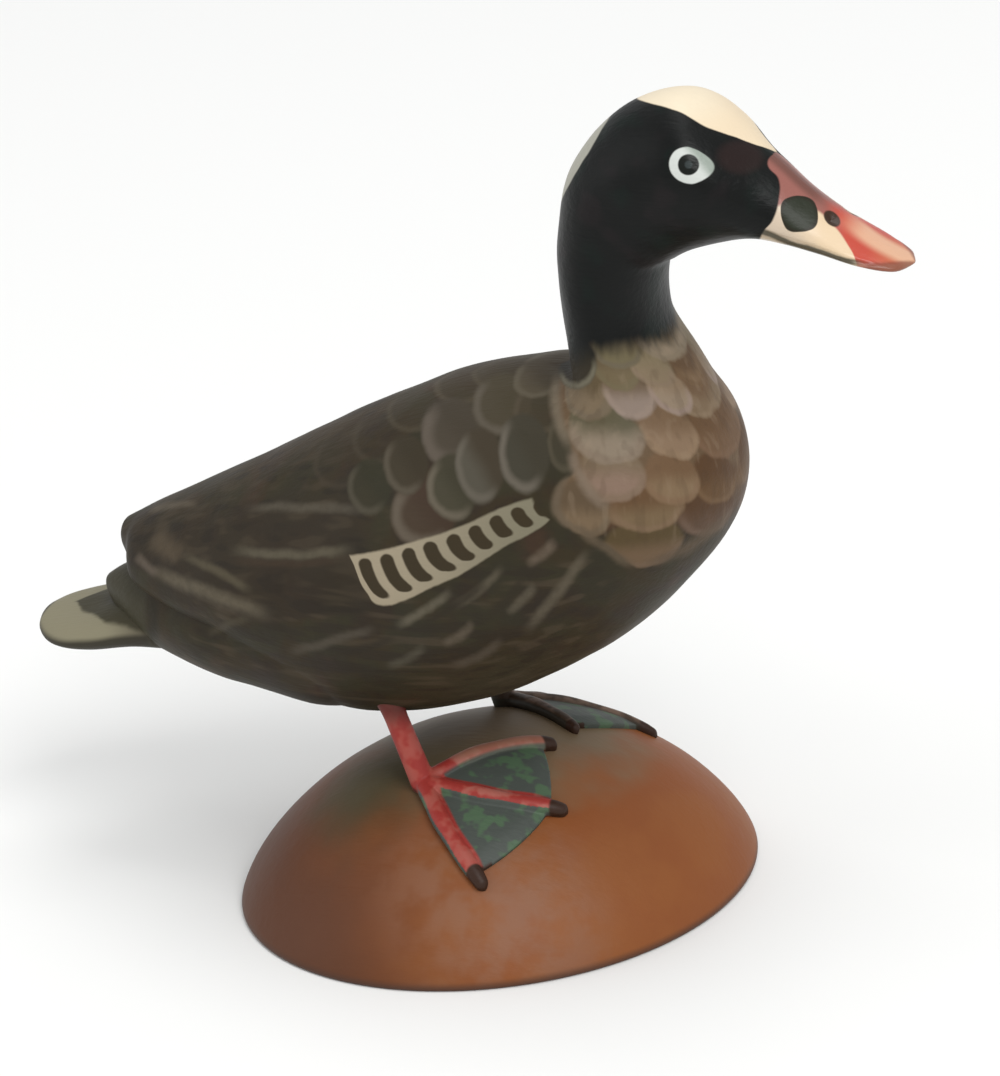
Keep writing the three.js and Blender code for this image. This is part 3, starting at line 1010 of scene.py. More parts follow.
    def _strokes(self, coat: Coat, place: Wire, strokes: tuple[PaintedStroke, ...]) -> None:
        """Lays bowed brush strokes, dry here and there."""
        dry = coat.work.scale(coat.work.noise(coat.place, 1.1, 2.0), 0.35, 0.6, 0.8, 1.0)
        for stroke in strokes:
            way = np.subtract(stroke.end, stroke.start)
            length = float(np.hypot(*way))
            mask = coat.work.use(
                coat.effects.stroke, Place=place, Start=(*stroke.start, 0.0),
                Run=(*(way / length**2).tolist(), 0.0),
                Side=(-float(way[1]) / length, float(way[0]) / length, 0.0),
                Bow=4.0 * stroke.bow, Width=stroke.width,
            )["Stroke"]
            coat.lay(stroke.colour, mask * dry * stroke.strength)

    @staticmethod
    def _streaks(coat: Coat, stretch: Place, seed: float) -> Wire:
        """Reads faint streaks, drawn out along the axis with the least stretch."""
        return coat.work.use(
            coat.effects.streaks, Place=coat.place, Stretch=stretch, Seed=(seed, seed, seed)
        )["Streak"]

    def _wing(self, coat: Coat, u: Wire, v: Wire) -> None:
        """Draws the dark folded quills of the wing and the faint streaks of the flank."""
        work = coat.work
        over_edge = work.step(v - work.curve(u, WING_EDGE), -0.3, 0.4)
        panel = work.both(over_edge, work.step(u, *self.wing_front), work.step(v, *self.wing_top))
        coat.lay(self.wing_dark, panel * 0.75)
        quills = self._streaks(coat, (0.05, 0.6, 0.6), 3.0)
        light = work.both(over_edge, work.step(quills, 0.54, 0.70), work.step(u, *self.quill_front), 0.5)
        coat.lay(self.quill_light, light)
        dark = work.both(over_edge, work.step(quills, 0.46, 0.34), work.step(u, *self.quill_front), 0.5)
        coat.lay(self.quill_dark, dark)
        streaks = self._streaks(coat, (0.08, 0.6, 0.6), 0.0)
        flank = work.both(
            work.step(v, *self.flank_top), work.step(u, *self.flank_front), work.step(u, *self.flank_rear)
        )
        coat.lay(self.flank_dark, flank * work.step(streaks, 0.48, 0.36) * 0.6)
        coat.lay(self.flank_light, flank * work.step(streaks, 0.56, 0.70) * 0.5)

    def _tail(self, coat: Coat, u: Wire, v: Wire) -> None:
        """Paints the tail olive above and pale along its sides, with painted shade round its lower edge and
        tip.
        """
        work = coat.work
        on_tail = work.step(coat.x, *self.tail_x) * work.step(coat.z, *self.tail_z)
        coat.lay(self.tail_olive, on_tail * 0.9)
        pale = work.step(v - work.curve(u, TAIL_PALE_TOP), 0.45, -0.45) * work.step(u, *self.tail_pale_end)
        skin = work.mix(work.step(u, -45.0, -39.5), self.tail_pale, self.tail_root)
        coat.lay(skin, pale * on_tail)
        # Painted shade: darker under the line of the tail's lower edge and at its tip.
        rim = work.curve(coat.x, TAIL_SHADE_LINE_BY_X)
        below = work.math("MAXIMUM", work.step(coat.z - rim, 0.5, -0.3), work.step(coat.x, *self.tail_tip_x))
        coat.lay(self.tail_edge_shade, below * on_tail * 0.95)

    def _shoulder(self, coat: Coat, place: Wire) -> None:
        """Lays the round shoulder feathers one over another."""
        for feather in SHOULDER_FEATHERS:
            self._lay_feather(coat, place, feather, SHOULDER_TIP, 1.0)

    def _bars(self, coat: Coat, u: Wire, v: Wire) -> None:
        """Draws the row of short cream bars along the folded wing."""
        work = coat.work
        pitch, half_gap, foot, head = self.bar_pitch, self.bar_gap_half, self.bar_foot, self.bar_head
        low, high = work.curve(u, BARS_FOOT), work.curve(u, BARS_HEAD)
        base = work.scale(u, -11.0, 8.6, 31.2, 38.6)
        drop = work.scale((v - base) / (high - base), 1.0, 0.0, 0.0, 1.0)
        shift = (drop * 1.1 + drop * drop * drop * 2.0) * work.scale(u, -14.0, 9.0, 1.0, 0.75)
        count = (u - shift - self.bar_start) / pitch
        off = abs(count - work.math("ROUND", count)) * pitch
        from_gap = pitch / 2 - off
        inwards = work.math("MINIMUM", v - low - (foot + half_gap), high - v - (head + half_gap))
        inwards = work.math("MINIMUM", inwards, 0.0)
        reach = work.math("SQRT", from_gap * from_gap + inwards * inwards)
        within = work.both(
            work.step(v - low, -0.2, 0.15), work.step(high - v, -0.25, 0.15),
            work.step(count, -0.35, -0.15), work.step(count, self.bar_count, self.bar_count - 0.2),
        )
        coat.lay(self.bar_gap, within)
        pale = work.mix(work.step(u, -12.0, 8.0), self.bar, self.bar_end)
        coat.lay(pale, within * work.step(reach, half_gap - 0.14, half_gap + 0.12))

    def _breast(self, coat: Coat, u: Wire, v: Wire, sway: Wire, swell: Wire) -> None:
        """Lays the breast feathers round the front of the bird, each row over the one below."""
        work = coat.work
        turn = work.math("ARCTAN2", abs(coat.y), coat.x - self.breast_axis) * self.breast_radius
        turn = work.math("SQRT", turn * turn + 1.0)
        across = turn + sway * 1.5
        up = coat.z - (turn * self.breast_climb - turn * turn * self.breast_ease) + swell * 1.3
        rear = work.curve(v, BREAST_REAR_BY_UP)
        within = work.step(u - rear, -0.4, 0.4) * work.step(coat.x, *self.breast_x)
        ground = work.mix(work.step(up, 56.0, 50.0), self.breast, self.breast_low)
        coat.lay(ground, work.both(within, work.step(up, 49.0, 51.5)))
        place = work.vector(across, up)
        for feather in BREAST_FEATHERS:
            self._lay_feather(coat, place, feather, DOWN, within)
        grain = self._streaks(coat, (0.8, 0.8, 0.25), 9.0)
        on_feathers = within * work.step(up, 46.0, 50.0)
        coat.lay(self.breast_fleck_dark, on_feathers * work.step(grain, 0.46, 0.30) * 0.2)
        coat.lay(self.breast_fleck_light, on_feathers * work.step(grain, 0.58, 0.74) * 0.16)
        self._strokes(coat, work.vector(u, v), BREAST_STROKES)
        self._lay_feather(coat, work.vector(u, v), NECK_FEATHER, DOWN, 1.0)

    def _head(self, coat: Coat, u: Wire, v: Wire) -> None:
        """Paints the black head and neck with their pale patches."""
        work = coat.work
        tufts = self._streaks(coat, (1.1, 1.1, 0.35), 5.0) - 0.5
        edge = work.curve(coat.x, NECK_EDGE_BY_X)
        is_black = work.step(coat.z - edge + tufts * 1.3, -1.2, 1.4) * work.step(coat.x, *self.neck_x)
        hue = work.noise(coat.place, 6.0, detail=2.0)
        black = work.mix(work.step(hue, 0.52, 0.66) * 0.8, self.black, self.black_green)
        black = work.mix(work.step(hue, 0.44, 0.32) * 0.8, black, self.black_purple)
        across, up = self.cheek_mark.offsets(u, v)
        black = work.mix(work.step(across * across + up * up, 1.2, 0.3) * 0.8, black, self.cheek)
        coat.lay(black, is_black)
        coat.gloss(self.head_rough, is_black)
        wobble = work.noise(coat.place, 3.0, detail=1.0) - 0.5
        along = (coat.x - self.crown_centre_xy[0]) / self.crown_length + wobble * 0.08
        half_width = work.curve(coat.x, CROWN_WIDTH)
        aside = (coat.y - self.crown_centre_xy[1]) / half_width
        crown = work.step(along * along + aside * aside + wobble * 0.1, 1.06, 0.96)
        crown = crown * work.step(coat.z, *self.crown_z)
        coat.lay(self.cream, crown)
        # Painted highlight: brighter cream on the top of the crown, where the light falls.
        coat.lay(self.crown_painted_highlight, crown * work.step(coat.z, *self.crown_top_z) * 0.6)
        tall, wide = self.nape_mark_zy.offsets(coat.z, coat.y)
        nape = work.step(tall * tall + wide * wide + wobble * 0.3, 1.06, 0.9)
        nape = nape * work.step(coat.x, *self.nape_x)
        coat.lay(self.grey_white, nape * 0.95)

    def _bill(self, coat: Coat, u: Wire, v: Wire) -> None:
        """Paints the bill in rose, cream and red, with its dark spot, nostril and mouth, painted shade along
        its ridge and underside and a painted highlight on its tip.
        """
        work = coat.work
        root = work.curve(v, BILL_ROOT_BY_UP)
        within = work.step(u - root, -0.12, 0.18) * work.step(coat.x, *self.bill_x)
        paint = work.mix(work.step(u, 37.0, 42.0), self.bill_root, self.bill_cream)
        red = work.mix(work.step(u, 41.4, 44.4), self.bill_rose, self.bill_red)
        red = work.mix(work.step(u, 45.6, 49.5), red, self.bill_orange)
        line = work.curve(u, BILL_RED_EDGE)
        mouth = work.curve(u, MOUTH_LINE)
        paint = work.mix(work.step(v - line, -0.3, 0.3), paint, red)
        # Painted shade: darker along the ridge of the bill near its root.
        ridge = work.step(abs(coat.y), 1.7, 0.5) * work.step(coat.x, 48.0, 45.0)
        paint = work.mix(ridge * 0.75, paint, self.bill_ridge_shade)
        # Painted highlight: pale peach along the top of the bill's broad tip.
        painted_highlight = work.step(abs(coat.y), 2.6, 0.9) * work.step(coat.x, 48.0, 51.5)
        paint = work.mix(painted_highlight * 0.8, paint, self.bill_painted_highlight)
        # The lower mandible: its own darker cream together with painted shade, as it faces down.
        paint = work.mix(work.step(v - mouth, 0.15, -0.25) * 0.45, paint, self.bill_under)
        line = work.step(abs(v - mouth), 0.42, 0.14) * work.step(u, 46.4, 44.0)
        paint = work.mix(line, paint, self.mouth)
        corner = work.step(v - mouth, 0.5, 0.0) * work.step(u, 44.8, 46.2) * 0.75
        paint = work.mix(corner, paint, self.mouth_end)
        level = v + work.step(coat.y, 0.0, 0.5) * LEFT_MARKS_DROP
        across, up = self.bill_spot.offsets(u, level)
        square = across * across * across * across + up * up * up * up
        round_ = across * across + up * up
        spot = work.step(square * 0.5 + round_ * 0.6, 1.12, 0.92)
        paint = work.mix(spot, paint, self.spot)
        paint = work.mix(spot * work.step(round_, 0.55, 1.0) * 0.6, paint, self.spot_edge)
        across, up = self.nostril_mark.offsets(u, level)
        hole = work.step(across * across + up * up + across * up * 0.7, 1.15, 0.7)
        paint = work.mix(hole, paint, self.nostril)
        coat.lay(paint, within)
        coat.gloss(self.bill_rough, within)
        coat.varnish = within * (0.35 - spot * 0.3)

    def _eye(self, coat: Coat, u: Wire, v: Wire) -> None:
        """Paints the eye: a pale ring, drawn out towards the bill, round a dark pupil."""
        work = coat.work
        across, up = u - self.eye_centre[0], v - self.eye_centre[1]
        pointed = across / work.scale(across, -2.4, 2.6, 2.35, 2.6)
        lean = (up + across * 0.12) / work.scale(across, 0.0, 2.6, 2.05, 1.6)
        ring = pointed * pointed + lean * lean
        within = work.step(coat.z, *self.eye_z) * work.step(coat.x, *self.eye_x)
        coat.lay(self.eye_dark, work.both(within, work.step(ring, 1.45, 1.1), 0.8))
        white = work.mix(work.step(across + up * 0.7, 0.2, 1.8), self.eye_white, self.eye_grey)
        coat.lay(white, within * work.step(ring, 1.08, 0.9))
        across, up = u - self.pupil_centre[0], v - self.pupil_centre[1]
        middle = across * across + up * up
        coat.lay(self.pupil, within * work.step(middle, 1.6, 1.15))
        # Painted reflection: a small light spot in the middle of the pupil.
        coat.lay(self.pupil_painted_glint, within * work.step(middle, 0.28, 0.08) * 0.8)
        coat.gloss(self.eye_rough, within * work.step(ring, 1.1, 0.9))


@dataclass
class CarvedBird:
    """The bird in one carved piece: body with folded wings, neck, head, bill, rump and tail."""

    node: str = "carved_bird"
    slot: str = "painted_bird"
    mouth_depth: float = 0.22
    mouth_width: float = 0.30
    nostril_depth: float = 0.45
    nostril_radius: float = 0.65
    cut_depth: float = 0.16
    cut_size: float = 5.0
    crease_angle: float = 38.0
    bill_start_x: float = 37.0
    bill_top_z: float = 96.0
    mouth_rise: Point = (34.6, 36.0)
    mouth_fade: Point = (47.5, 45.5)

    def build(self) -> bpy.types.Object:
        """Carves the bird.

        Returns:
            The finished piece.
        """
        bird = CarvedSkin("carved_bird_skin", BODY_SECTIONS, start_round=0.4, end_round=0.8).build()
        self._cut_bill(bird)
        rump = CarvedSkin("rump", RUMP_SECTIONS, sides=96, start_round=0.4).build()
        tail = CarvedSkin("tail", TAIL_SECTIONS, sides=96, start_round=0.35).build()
        unite(bird, rump)
        unite(bird, tail)
        places, normals = points_of(bird), normals_of(bird)
        move_points(bird, hand_cut(places, normals, self.cut_depth, self.cut_size))
        select_only(bird)
        bpy.ops.object.shade_smooth_by_angle(angle=math.radians(self.crease_angle))
        return bird

    def _cut_bill(self, bird: bpy.types.Object) -> None:
        """Cuts the line of the mouth and drills the nostrils."""
        places, normals = points_of(bird), normals_of(bird)
        across, up = plan_of(places)
        line = np.array(MOUTH_LINE)
        off = np.abs(up - np.interp(across, line[:, 0], line[:, 1]))
        length = smooth_step(across, *self.mouth_rise) * smooth_step(across, *self.mouth_fade)
        on_bill = (places[:, 0] > self.bill_start_x) & (places[:, 2] < self.bill_top_z)
        depth = self.mouth_depth * np.exp(-((off / self.mouth_width) ** 2)) * length * on_bill
        level = up + LEFT_MARKS_DROP * (places[:, 1] > 0.3)
        reach = np.hypot(across - NOSTRIL[0], level - NOSTRIL[1])
        depth += self.nostril_depth * np.exp(-((reach / self.nostril_radius) ** 2)) * on_bill
        move_points(bird, places - normals * depth[:, None])

    def dress(self, piece: bpy.types.Object, effects: Effects) -> None:
        """Paints the bird and gives it its place in the frame."""
        hand_over(piece, BirdPaint().material(effects), self.node)


def hand_over(piece: bpy.types.Object, material: bpy.types.Material, node: str) -> None:
    """Paints a finished piece and puts it in the frame for the node that it stands for.

    Args:
        piece: the finished piece.
        material: its paint.
        node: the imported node.
    """
    piece.data.materials.clear()
    piece.data.materials.append(material)
    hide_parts(node)
    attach(piece, BODY)
    log.info("%s: %d faces, stands for %s", piece.name, len(piece.data.polygons), node)


# The mound


@dataclass(frozen=True)
class MoundPaint:
    """The mound's rusty brown paint, khaki where the feet stand, with a painted highlight on its front and
    painted shade on one side and along its bottom edge.
    """

    rust: Colour = (144, 82, 40)
    orange: Colour = (150, 90, 44)
    left_shade_brown: Colour = (92, 53, 30)
    # Rose for the painted highlight on the front of the mound.
    rose: Colour = (146, 104, 80)
    khaki: Colour = (132, 112, 86)
    green: Colour = (84, 78, 56)
    # Painted shade along the bottom edge.
    rim: Colour = (82, 54, 40)
    highlight_mark: Oval = Oval((9.8, -21.8), (15.0, 11.0))
    khaki_mark: Oval = Oval((-2.0, 3.0), (17.5, 16.5))
    green_mark: Oval = Oval((-11.0, -9.0), (9.0, 11.0))
    left_way: Point = (0.85, 0.52)
    cloud_size: float = 13.0
    grain: float = 0.35
    seed: float = 40.0
    rough: float = 0.5
    relief: float = 0.0001
    sheen: float = 0.25

    def material(self, effects: Effects) -> bpy.types.Material:
        """Paints the mound.

        Args:
            effects: the shared paint effects.

        Returns:
            The material.
        """
        coat = Coat("painted mound", self.rust, effects)
        work = coat.work
        brushed = work.use(effects.brushed, Place=coat.place, Grain=self.grain, Seed=self.seed)
        cloud = work.noise(coat.place, self.cloud_size, detail=3.0, rough=0.55) - 0.5
        coat.lay(self.orange, work.step(cloud, -0.06, 0.12) * 0.6)
        # Painted shade: darker brown on the side away from the key light.
        left = coat.x * self.left_way[0] + coat.y * self.left_way[1] + cloud * 9.0
        coat.lay(self.left_shade_brown, work.step(left, -3.0, -27.0) * 0.95)
        # Painted highlight: a rose patch on the front of the mound, where the light falls.
        across, along = self.highlight_mark.offsets(coat.x, coat.y)
        painted_highlight = work.step(across * across + along * along + cloud, 1.3, 0.0)
        coat.lay(self.rose, painted_highlight * work.step(brushed["Tone"], 0.30, 0.62) * 0.6)
        khaki_spot = self._spot(coat, self.khaki_mark, cloud * 1.1)
        coat.lay(self.khaki, work.step(khaki_spot, 1.15, 0.62))
        green_spot = self._spot(coat, self.green_mark, cloud * 1.2)
        coat.lay(self.green, work.step(green_spot, 1.3, 0.2) * 0.9)
        # Painted shade: darker along the bottom edge, where the mound rounds under.
        coat.lay(self.rim, work.step(coat.z, 1.3, 0.4) * 0.8)
        coat.rough = self.rough
        return coat.finish(brushed["Height"], self.relief, self.sheen)

    @staticmethod
    def _spot(coat: Coat, mark: Oval, ragged: Wire) -> Wire:
        """Measures how far out a place lies in an oval on the ground plan, 1 on its edge."""
        across, along = mark.offsets(coat.x, coat.y)
        return coat.work.math("SQRT", across * across + along * along) + ragged


@dataclass
class Mound:
    """The low oval mound, a smooth dome with an eased edge."""

    node: str = "mound_base"
    slot: str = "painted_mound"
    length: float = 63.6
    width: float = 57.6
    height: float = 18.9
    turn: float = math.radians(54)
    fullness: float = 0.74
    edge: float = 0.5
    cut_depth: float = 0.14
    cut_size: float = 9.0
    rings: int = 72
    edge_rings: int = 6
    sides: int = 160
    underside_ring: float = 0.5
    crease_angle: float = 50.0

    def height_at(self, x: np.ndarray, y: np.ndarray) -> np.ndarray:
        """Gives the height of the surface over points of the ground."""
        along = (x * math.cos(self.turn) + y * math.sin(self.turn)) / (self.length / 2)
        across = (y * math.cos(self.turn) - x * math.sin(self.turn)) / (self.width / 2)
        return self.height * np.maximum(0, 1 - along**2 - across**2) ** self.fullness

    def over(self, x: np.ndarray, y: np.ndarray, height: np.ndarray) -> np.ndarray:
        """Gives the points at a height over the surface, measured along its normal."""
        normal = self.normal_at(x, y)
        return np.column_stack([x, y, self.height_at(x, y)]) + normal * np.asarray(height)[:, None]

    def normal_at(self, x: np.ndarray, y: np.ndarray) -> np.ndarray:
        """Gives the upward normal over points of the ground."""
        step = 0.05
        slope_x = (self.height_at(x + step, y) - self.height_at(x - step, y)) / (2 * step)
        slope_y = (self.height_at(x, y + step) - self.height_at(x, y - step)) / (2 * step)
        normal = np.column_stack([-slope_x, -slope_y, np.ones_like(slope_x)])
        return normal / np.linalg.norm(normal, axis=1)[:, None]

    def build(self) -> bpy.types.Object:
        """Turns the dome.

        Returns:
            The finished piece.
        """
        slant = np.linspace(0, math.pi / 2, self.rings - self.edge_rings)
        eased = np.linspace(0, math.pi / 2, self.edge_rings)
        inner = 1 - self.edge / (self.width / 2)
        edge_radius = inner + (1 - inner) * np.sin(eased)[:-1]
        radius = np.concatenate([[0, self.underside_ring], edge_radius, np.cos(slant)])
        dome = self.height * (1 - np.cos(slant) ** 2) ** self.fullness * (1 - self.edge / self.height)
        rise = np.concatenate([[0, 0], self.edge * (1 - np.cos(eased))[:-1], self.edge + dome])

        def surface(around: np.ndarray, along: np.ndarray) -> np.ndarray:
            """Gives the places on the dome."""
            index = np.rint(along * (len(radius) - 1)).astype(int)
            angle = around * 2 * math.pi
            long_way = radius[index] * np.cos(angle) * self.length / 2
            short_way = radius[index] * np.sin(angle) * self.width / 2
            x = long_way * math.cos(self.turn) - short_way * math.sin(self.turn)
            y = long_way * math.sin(self.turn) + short_way * math.cos(self.turn)
            return np.column_stack([x, y, rise[index]])

        mound = wrapped_sheet("oval_mound", self.sides, len(radius) - 1, surface)
        places, normals = points_of(mound), normals_of(mound)
        cut = hand_cut(places, normals, self.cut_depth, self.cut_size)
        on_top = smooth_step(places[:, 2], 0.5, 3.0)[:, None]
        move_points(mound, places + (cut - places) * on_top)
        select_only(mound)
        bpy.ops.object.shade_smooth_by_angle(angle=math.radians(self.crease_angle))
        return mound

    def dress(self, piece: bpy.types.Object, effects: Effects) -> None:
        """Paints the mound and gives it its place in the frame."""
        hand_over(piece, MoundPaint().material(effects), self.node)


# The legs and feet


@dataclass(frozen=True)
class Toe:
    """A toe: its heading on the ground plan in degrees, length, bow to its left and wear."""

    heading: float
    length: float
    bow: float
    wear: float

    def way(self) -> np.ndarray:
        """Gives the toe's direction on the ground plan."""
        return np.array([math.cos(math.radians(self.heading)), math.sin(math.radians(self.heading))])

    def bowed(self, distance: np.ndarray) -> np.ndarray:
        """Gives how far the toe lies to its left at distances from the ankle."""
        return self.bow * np.sin(math.pi * distance / self.length)

    def between(self, other: "Toe", share: np.ndarray) -> tuple[np.ndarray, np.ndarray, np.ndarray]:
        """Mixes the headings, lengths and bows of two toes by shares."""
        pairs = ((self.heading, other.heading), (self.length, other.length), (self.bow, other.bow))
        return tuple(first + (second - first) * share for first, second in pairs)


@dataclass(frozen=True)
class Foot:
    """The sizes of one leg and foot, with its toes from the bird's right to its left."""

    side: Side
    ankle_x: float
    shank_top_x: float
    shank_radius: float
    flare: float
    toe_width: float
    toe_height: float
    toe_taper: float
    toes: tuple[Toe, Toe, Toe]
    # Whether the leg is rubbed down to brown and darkened with painted shade under the belly.
    worn_and_shaded: bool


RIGHT_FOOT = Foot(
    side=Side.RIGHT, ankle_x=-3.2, shank_top_x=-9.5, shank_radius=1.4, flare=0.5,
    toe_width=2.4, toe_height=1.5, toe_taper=0.18, worn_and_shaded=False,
    toes=(Toe(-41.5, 14.9, -0.9, 0.15), Toe(8.5, 17.0, -1.5, 0.45), Toe(45.0, 16.8, 0.9, 0.85)),
)
LEFT_FOOT = Foot(
    side=Side.LEFT, ankle_x=-2.5, shank_top_x=-7.6, shank_radius=1.3, flare=0.3,
    toe_width=2.3, toe_height=1.45, toe_taper=0.4, worn_and_shaded=True,
    toes=(Toe(-30.0, 13.6, 0.0, 0.2), Toe(17.0, 17.6, 0.0, 0.5), Toe(66.0, 13.0, 0.0, 0.3)),
)


@dataclass(frozen=True)
class LegPaint:
    """The legs' red paint, worn to pink and khaki along the toes, with dark webs and claws, and painted
    shade low on the toes and under the belly.
    """

    red: Colour = (172, 66, 56)
    crimson: Colour = (156, 48, 44)
    maroon_and_shade: Colour = (84, 42, 34)
    pink: Colour = (184, 122, 108)
    khaki_pink: Colour = (168, 120, 98)
    worn_shaded_brown: Colour = (76, 58, 44)
    far_leg_shade: Colour = (50, 44, 32)
    worn_pink_and_highlight: Colour = (142, 114, 96)
    web: Colour = (78, 84, 78)
    web_green: Colour = (84, 108, 82)
    web_grey: Colour = (112, 112, 94)
    claw: Colour = (58, 36, 24)
    grain: float = 0.5
    seed: float = 80.0
    patch_size: float = 2.4
    rough: float = 0.5
    relief: float = 0.0001
    sheen: float = 0.25

    def material(self, effects: Effects, worn_and_shaded: bool) -> bpy.types.Material:
        """Paints a leg.

        Args:
            effects: the shared paint effects.
            worn_and_shaded: whether the red is rubbed down to brown and darkened with painted shade.

        Returns:
            The material.
        """
        # The far leg's ground is brown: worn paint darkened with painted shade.
        name = "painted leg, faded" if worn_and_shaded else "painted leg"
        coat = Coat(name, self.worn_shaded_brown if worn_and_shaded else self.red, effects)
        work = coat.work
        brushed = work.use(effects.brushed, Place=coat.place, Grain=self.grain, Seed=self.seed)
        web, claw, low, wear, crown = (
            work.node("Attribute", {}, outlet="Fac", attribute_name=mark)
            for mark in ("web", "claw", "low", "wear", "crown")
        )
        patches = work.noise(coat.place, self.patch_size, detail=2.0, rough=0.55)
        if worn_and_shaded:
            # Pink worn paint in patches on the upward faces, laid as a painted highlight.
            coat.lay(self.worn_pink_and_highlight, work.both(crown, work.step(patches, 0.40, 0.60), 0.7))
            # Painted shade: dark low on the toes and at the top of the shank under the belly.
            coat.lay(self.far_leg_shade, work.step(low + patches * 0.5, 0.3, 0.9) * 0.9)
            coat.lay(self.far_leg_shade, work.step(coat.z, 21.0, 23.0))
        else:
            coat.lay(self.crimson, work.step(patches, 0.55, 0.42) * 0.6)
            coat.lay(self.pink, work.both(work.step(patches, 0.46, 0.62), 0.25 + 0.75 * wear))
            coat.lay(self.khaki_pink, work.step(wear, 0.45, 0.85) * 0.85)
            # Darker maroon paint together with painted shade, low on the toes near the mound.
            coat.lay(self.maroon_and_shade, work.step(low + patches * 0.5, 0.45, 1.0) * (0.9 - 0.5 * wear))
            # Painted shade: maroon at the top of the shank, under the belly.
            coat.lay(self.maroon_and_shade, work.step(coat.z + patches * 2.0, 24.6, 28.0) * 0.8)
        skin = work.mix(work.step(patches, 0.50, 0.62), self.web, self.web_green)
        skin = work.mix(work.step(wear, 0.5, 0.75) * 0.8, skin, self.web_grey)
        coat.lay(skin, web)
        coat.lay(self.claw, claw)
        coat.rough = self.rough
        return coat.finish(brushed["Height"], self.relief, self.sheen)


@dataclass
class Leg:
    """One leg: a round shank, three toes with claws and the webs between them."""

    mound: Mound
    node: str
    foot: Foot
    slot: str = "painted_leg"
    ankle_y: float = 11.8
    shank_top_y: float = 10.6
    shank_top_z: float = 33.0
    shank_end: float = 0.80
    ankle_radius: float = 1.6
    claw_share: float = 0.1
    claw_taper: float = 0.3
    sole_depth: float = 1.3
    web_thickness: float = 0.6
    web_reach: float = 0.88
    web_hollow: float = 0.02
    gap: float = 0.3
    sunk: float = 0.15
    grain: float = 0.14
    toe_cap: float = 0.03
    knuckle_swell: float = 0.04
    knuckles: float = 2.6
    web_root: float = 0.6
    flare_start: float = 0.52
    flare_run: float = 0.18
    off_foot: float = 9.0

    def _ankle(self) -> np.ndarray:
        """Gives the ankle's place on the ground plan."""
        return np.array([self.foot.ankle_x, self.foot.side.value * self.ankle_y])

    def _toe_size(self, along: np.ndarray) -> np.ndarray:
        """Gives a toe's size along its length, with soft knuckles and a blunt claw."""
        claw = np.clip((along - 1 + self.claw_share) / self.claw_share, 0, 1)
        knuckles = 1 + self.knuckle_swell * np.cos(along * 2 * math.pi * self.knuckles)
        return (1 - self.foot.toe_taper * along) * (1 - self.claw_taper * claw**1.4) * knuckles

    def _toe(self, toe: Toe) -> bpy.types.Object:
        """Builds a toe with its claw, lying along the mound."""
        ankle, way = self._ankle(), toe.way()
        left = np.array([-way[1], way[0]])

        def surface(around: np.ndarray, along: np.ndarray) -> np.ndarray:
            """Gives the places on the toe."""
            closing = np.sqrt(np.clip(np.minimum(along, 1 - along) / self.toe_cap, 0, 1))
            distance = toe.length * along
            plan = ankle + distance[:, None] * way + toe.bowed(distance)[:, None] * left
            normal = self.mound.normal_at(plan[:, 0], plan[:, 1])
            across = np.cross(normal, [*way, 0.0])
            across /= np.linalg.norm(across, axis=1)[:, None]
            size = self._toe_size(along) * closing
            angle = around * 2 * math.pi
            up = np.sin(angle)
            thick = self.foot.toe_height * size * (0.35 + 0.65 * np.maximum(up, 0))
            height = thick + self.sole_depth * np.minimum(up, 0)
            base = self.mound.over(plan[:, 0], plan[:, 1], self.gap + height)
            return base + across * (0.5 * self.foot.toe_width * size * np.cos(angle))[:, None]

        return wrapped_sheet("toe", 32, 64, surface)

    def _web(self, right: Toe, left: Toe) -> bpy.types.Object:
        """Builds the thin web between two toes."""
        ankle = self._ankle()

        def surface(around: np.ndarray, along: np.ndarray) -> np.ndarray:
            """Gives the places on the web."""
            heading, length, bow = right.between(left, along)
            heading = np.radians(heading)
            reach = length * (self.web_reach - self.web_hollow * np.sin(math.pi * along))
            outward = np.where(around < 0.5, around / 0.5, (1 - around) / 0.5)
            top = (around > 0) & (around < 0.5)
            edge = 1 - smooth_step(outward, 0.82, 1.0) * 0.5
            height = np.where(top, self.web_thickness * edge, -self.sole_depth)
            radius = self.web_root + (reach - self.web_root) * np.clip((outward - 0.04) / 0.92, 0, 1)
            pole = (along < 1e-6) | (along > 1 - 1e-6)
            radius = np.where(pole, 0.5 * (reach + self.web_root), radius)
            height = np.where(pole, -0.2, height)
            aside = bow * np.sin(math.pi * radius / length)
            x = ankle[0] + radius * np.cos(heading) - aside * np.sin(heading)
            y = ankle[1] + radius * np.sin(heading) + aside * np.cos(heading)
            return self.mound.over(x, y, self.gap + height)

        return wrapped_sheet("web", 80, 40, surface)

    def _shank(self) -> bpy.types.Object:
        """Builds the shank from the ankle into the belly, wider where it meets it."""
        ankle = self._ankle()
        foot = self.mound.over(ankle[:1], ankle[1:], np.array([-0.5]))[0]
        top = np.array([self.foot.shank_top_x, self.foot.side.value * self.shank_top_y, self.shank_top_z])

        def surface(around: np.ndarray, along: np.ndarray) -> np.ndarray:
            """Gives the places on the shank."""
            angle = around * 2 * math.pi
            share = along * self.shank_end
            wide = np.clip((share - self.flare_start) / self.flare_run, 0, 1)
            thin = self.foot.shank_radius
            radius = thin + (self.ankle_radius - thin) * (1 - share) ** 3
            radius += self.foot.flare * wide**2
            radius *= np.where((along < 1e-6) | (along > 1 - 1e-6), 0.0, 1.0)
            line = foot + (top - foot) * share[:, None]
            return line + np.column_stack([radius * np.cos(angle), radius * np.sin(angle), 0 * along])

        return wrapped_sheet("shank", 40, 48, surface)

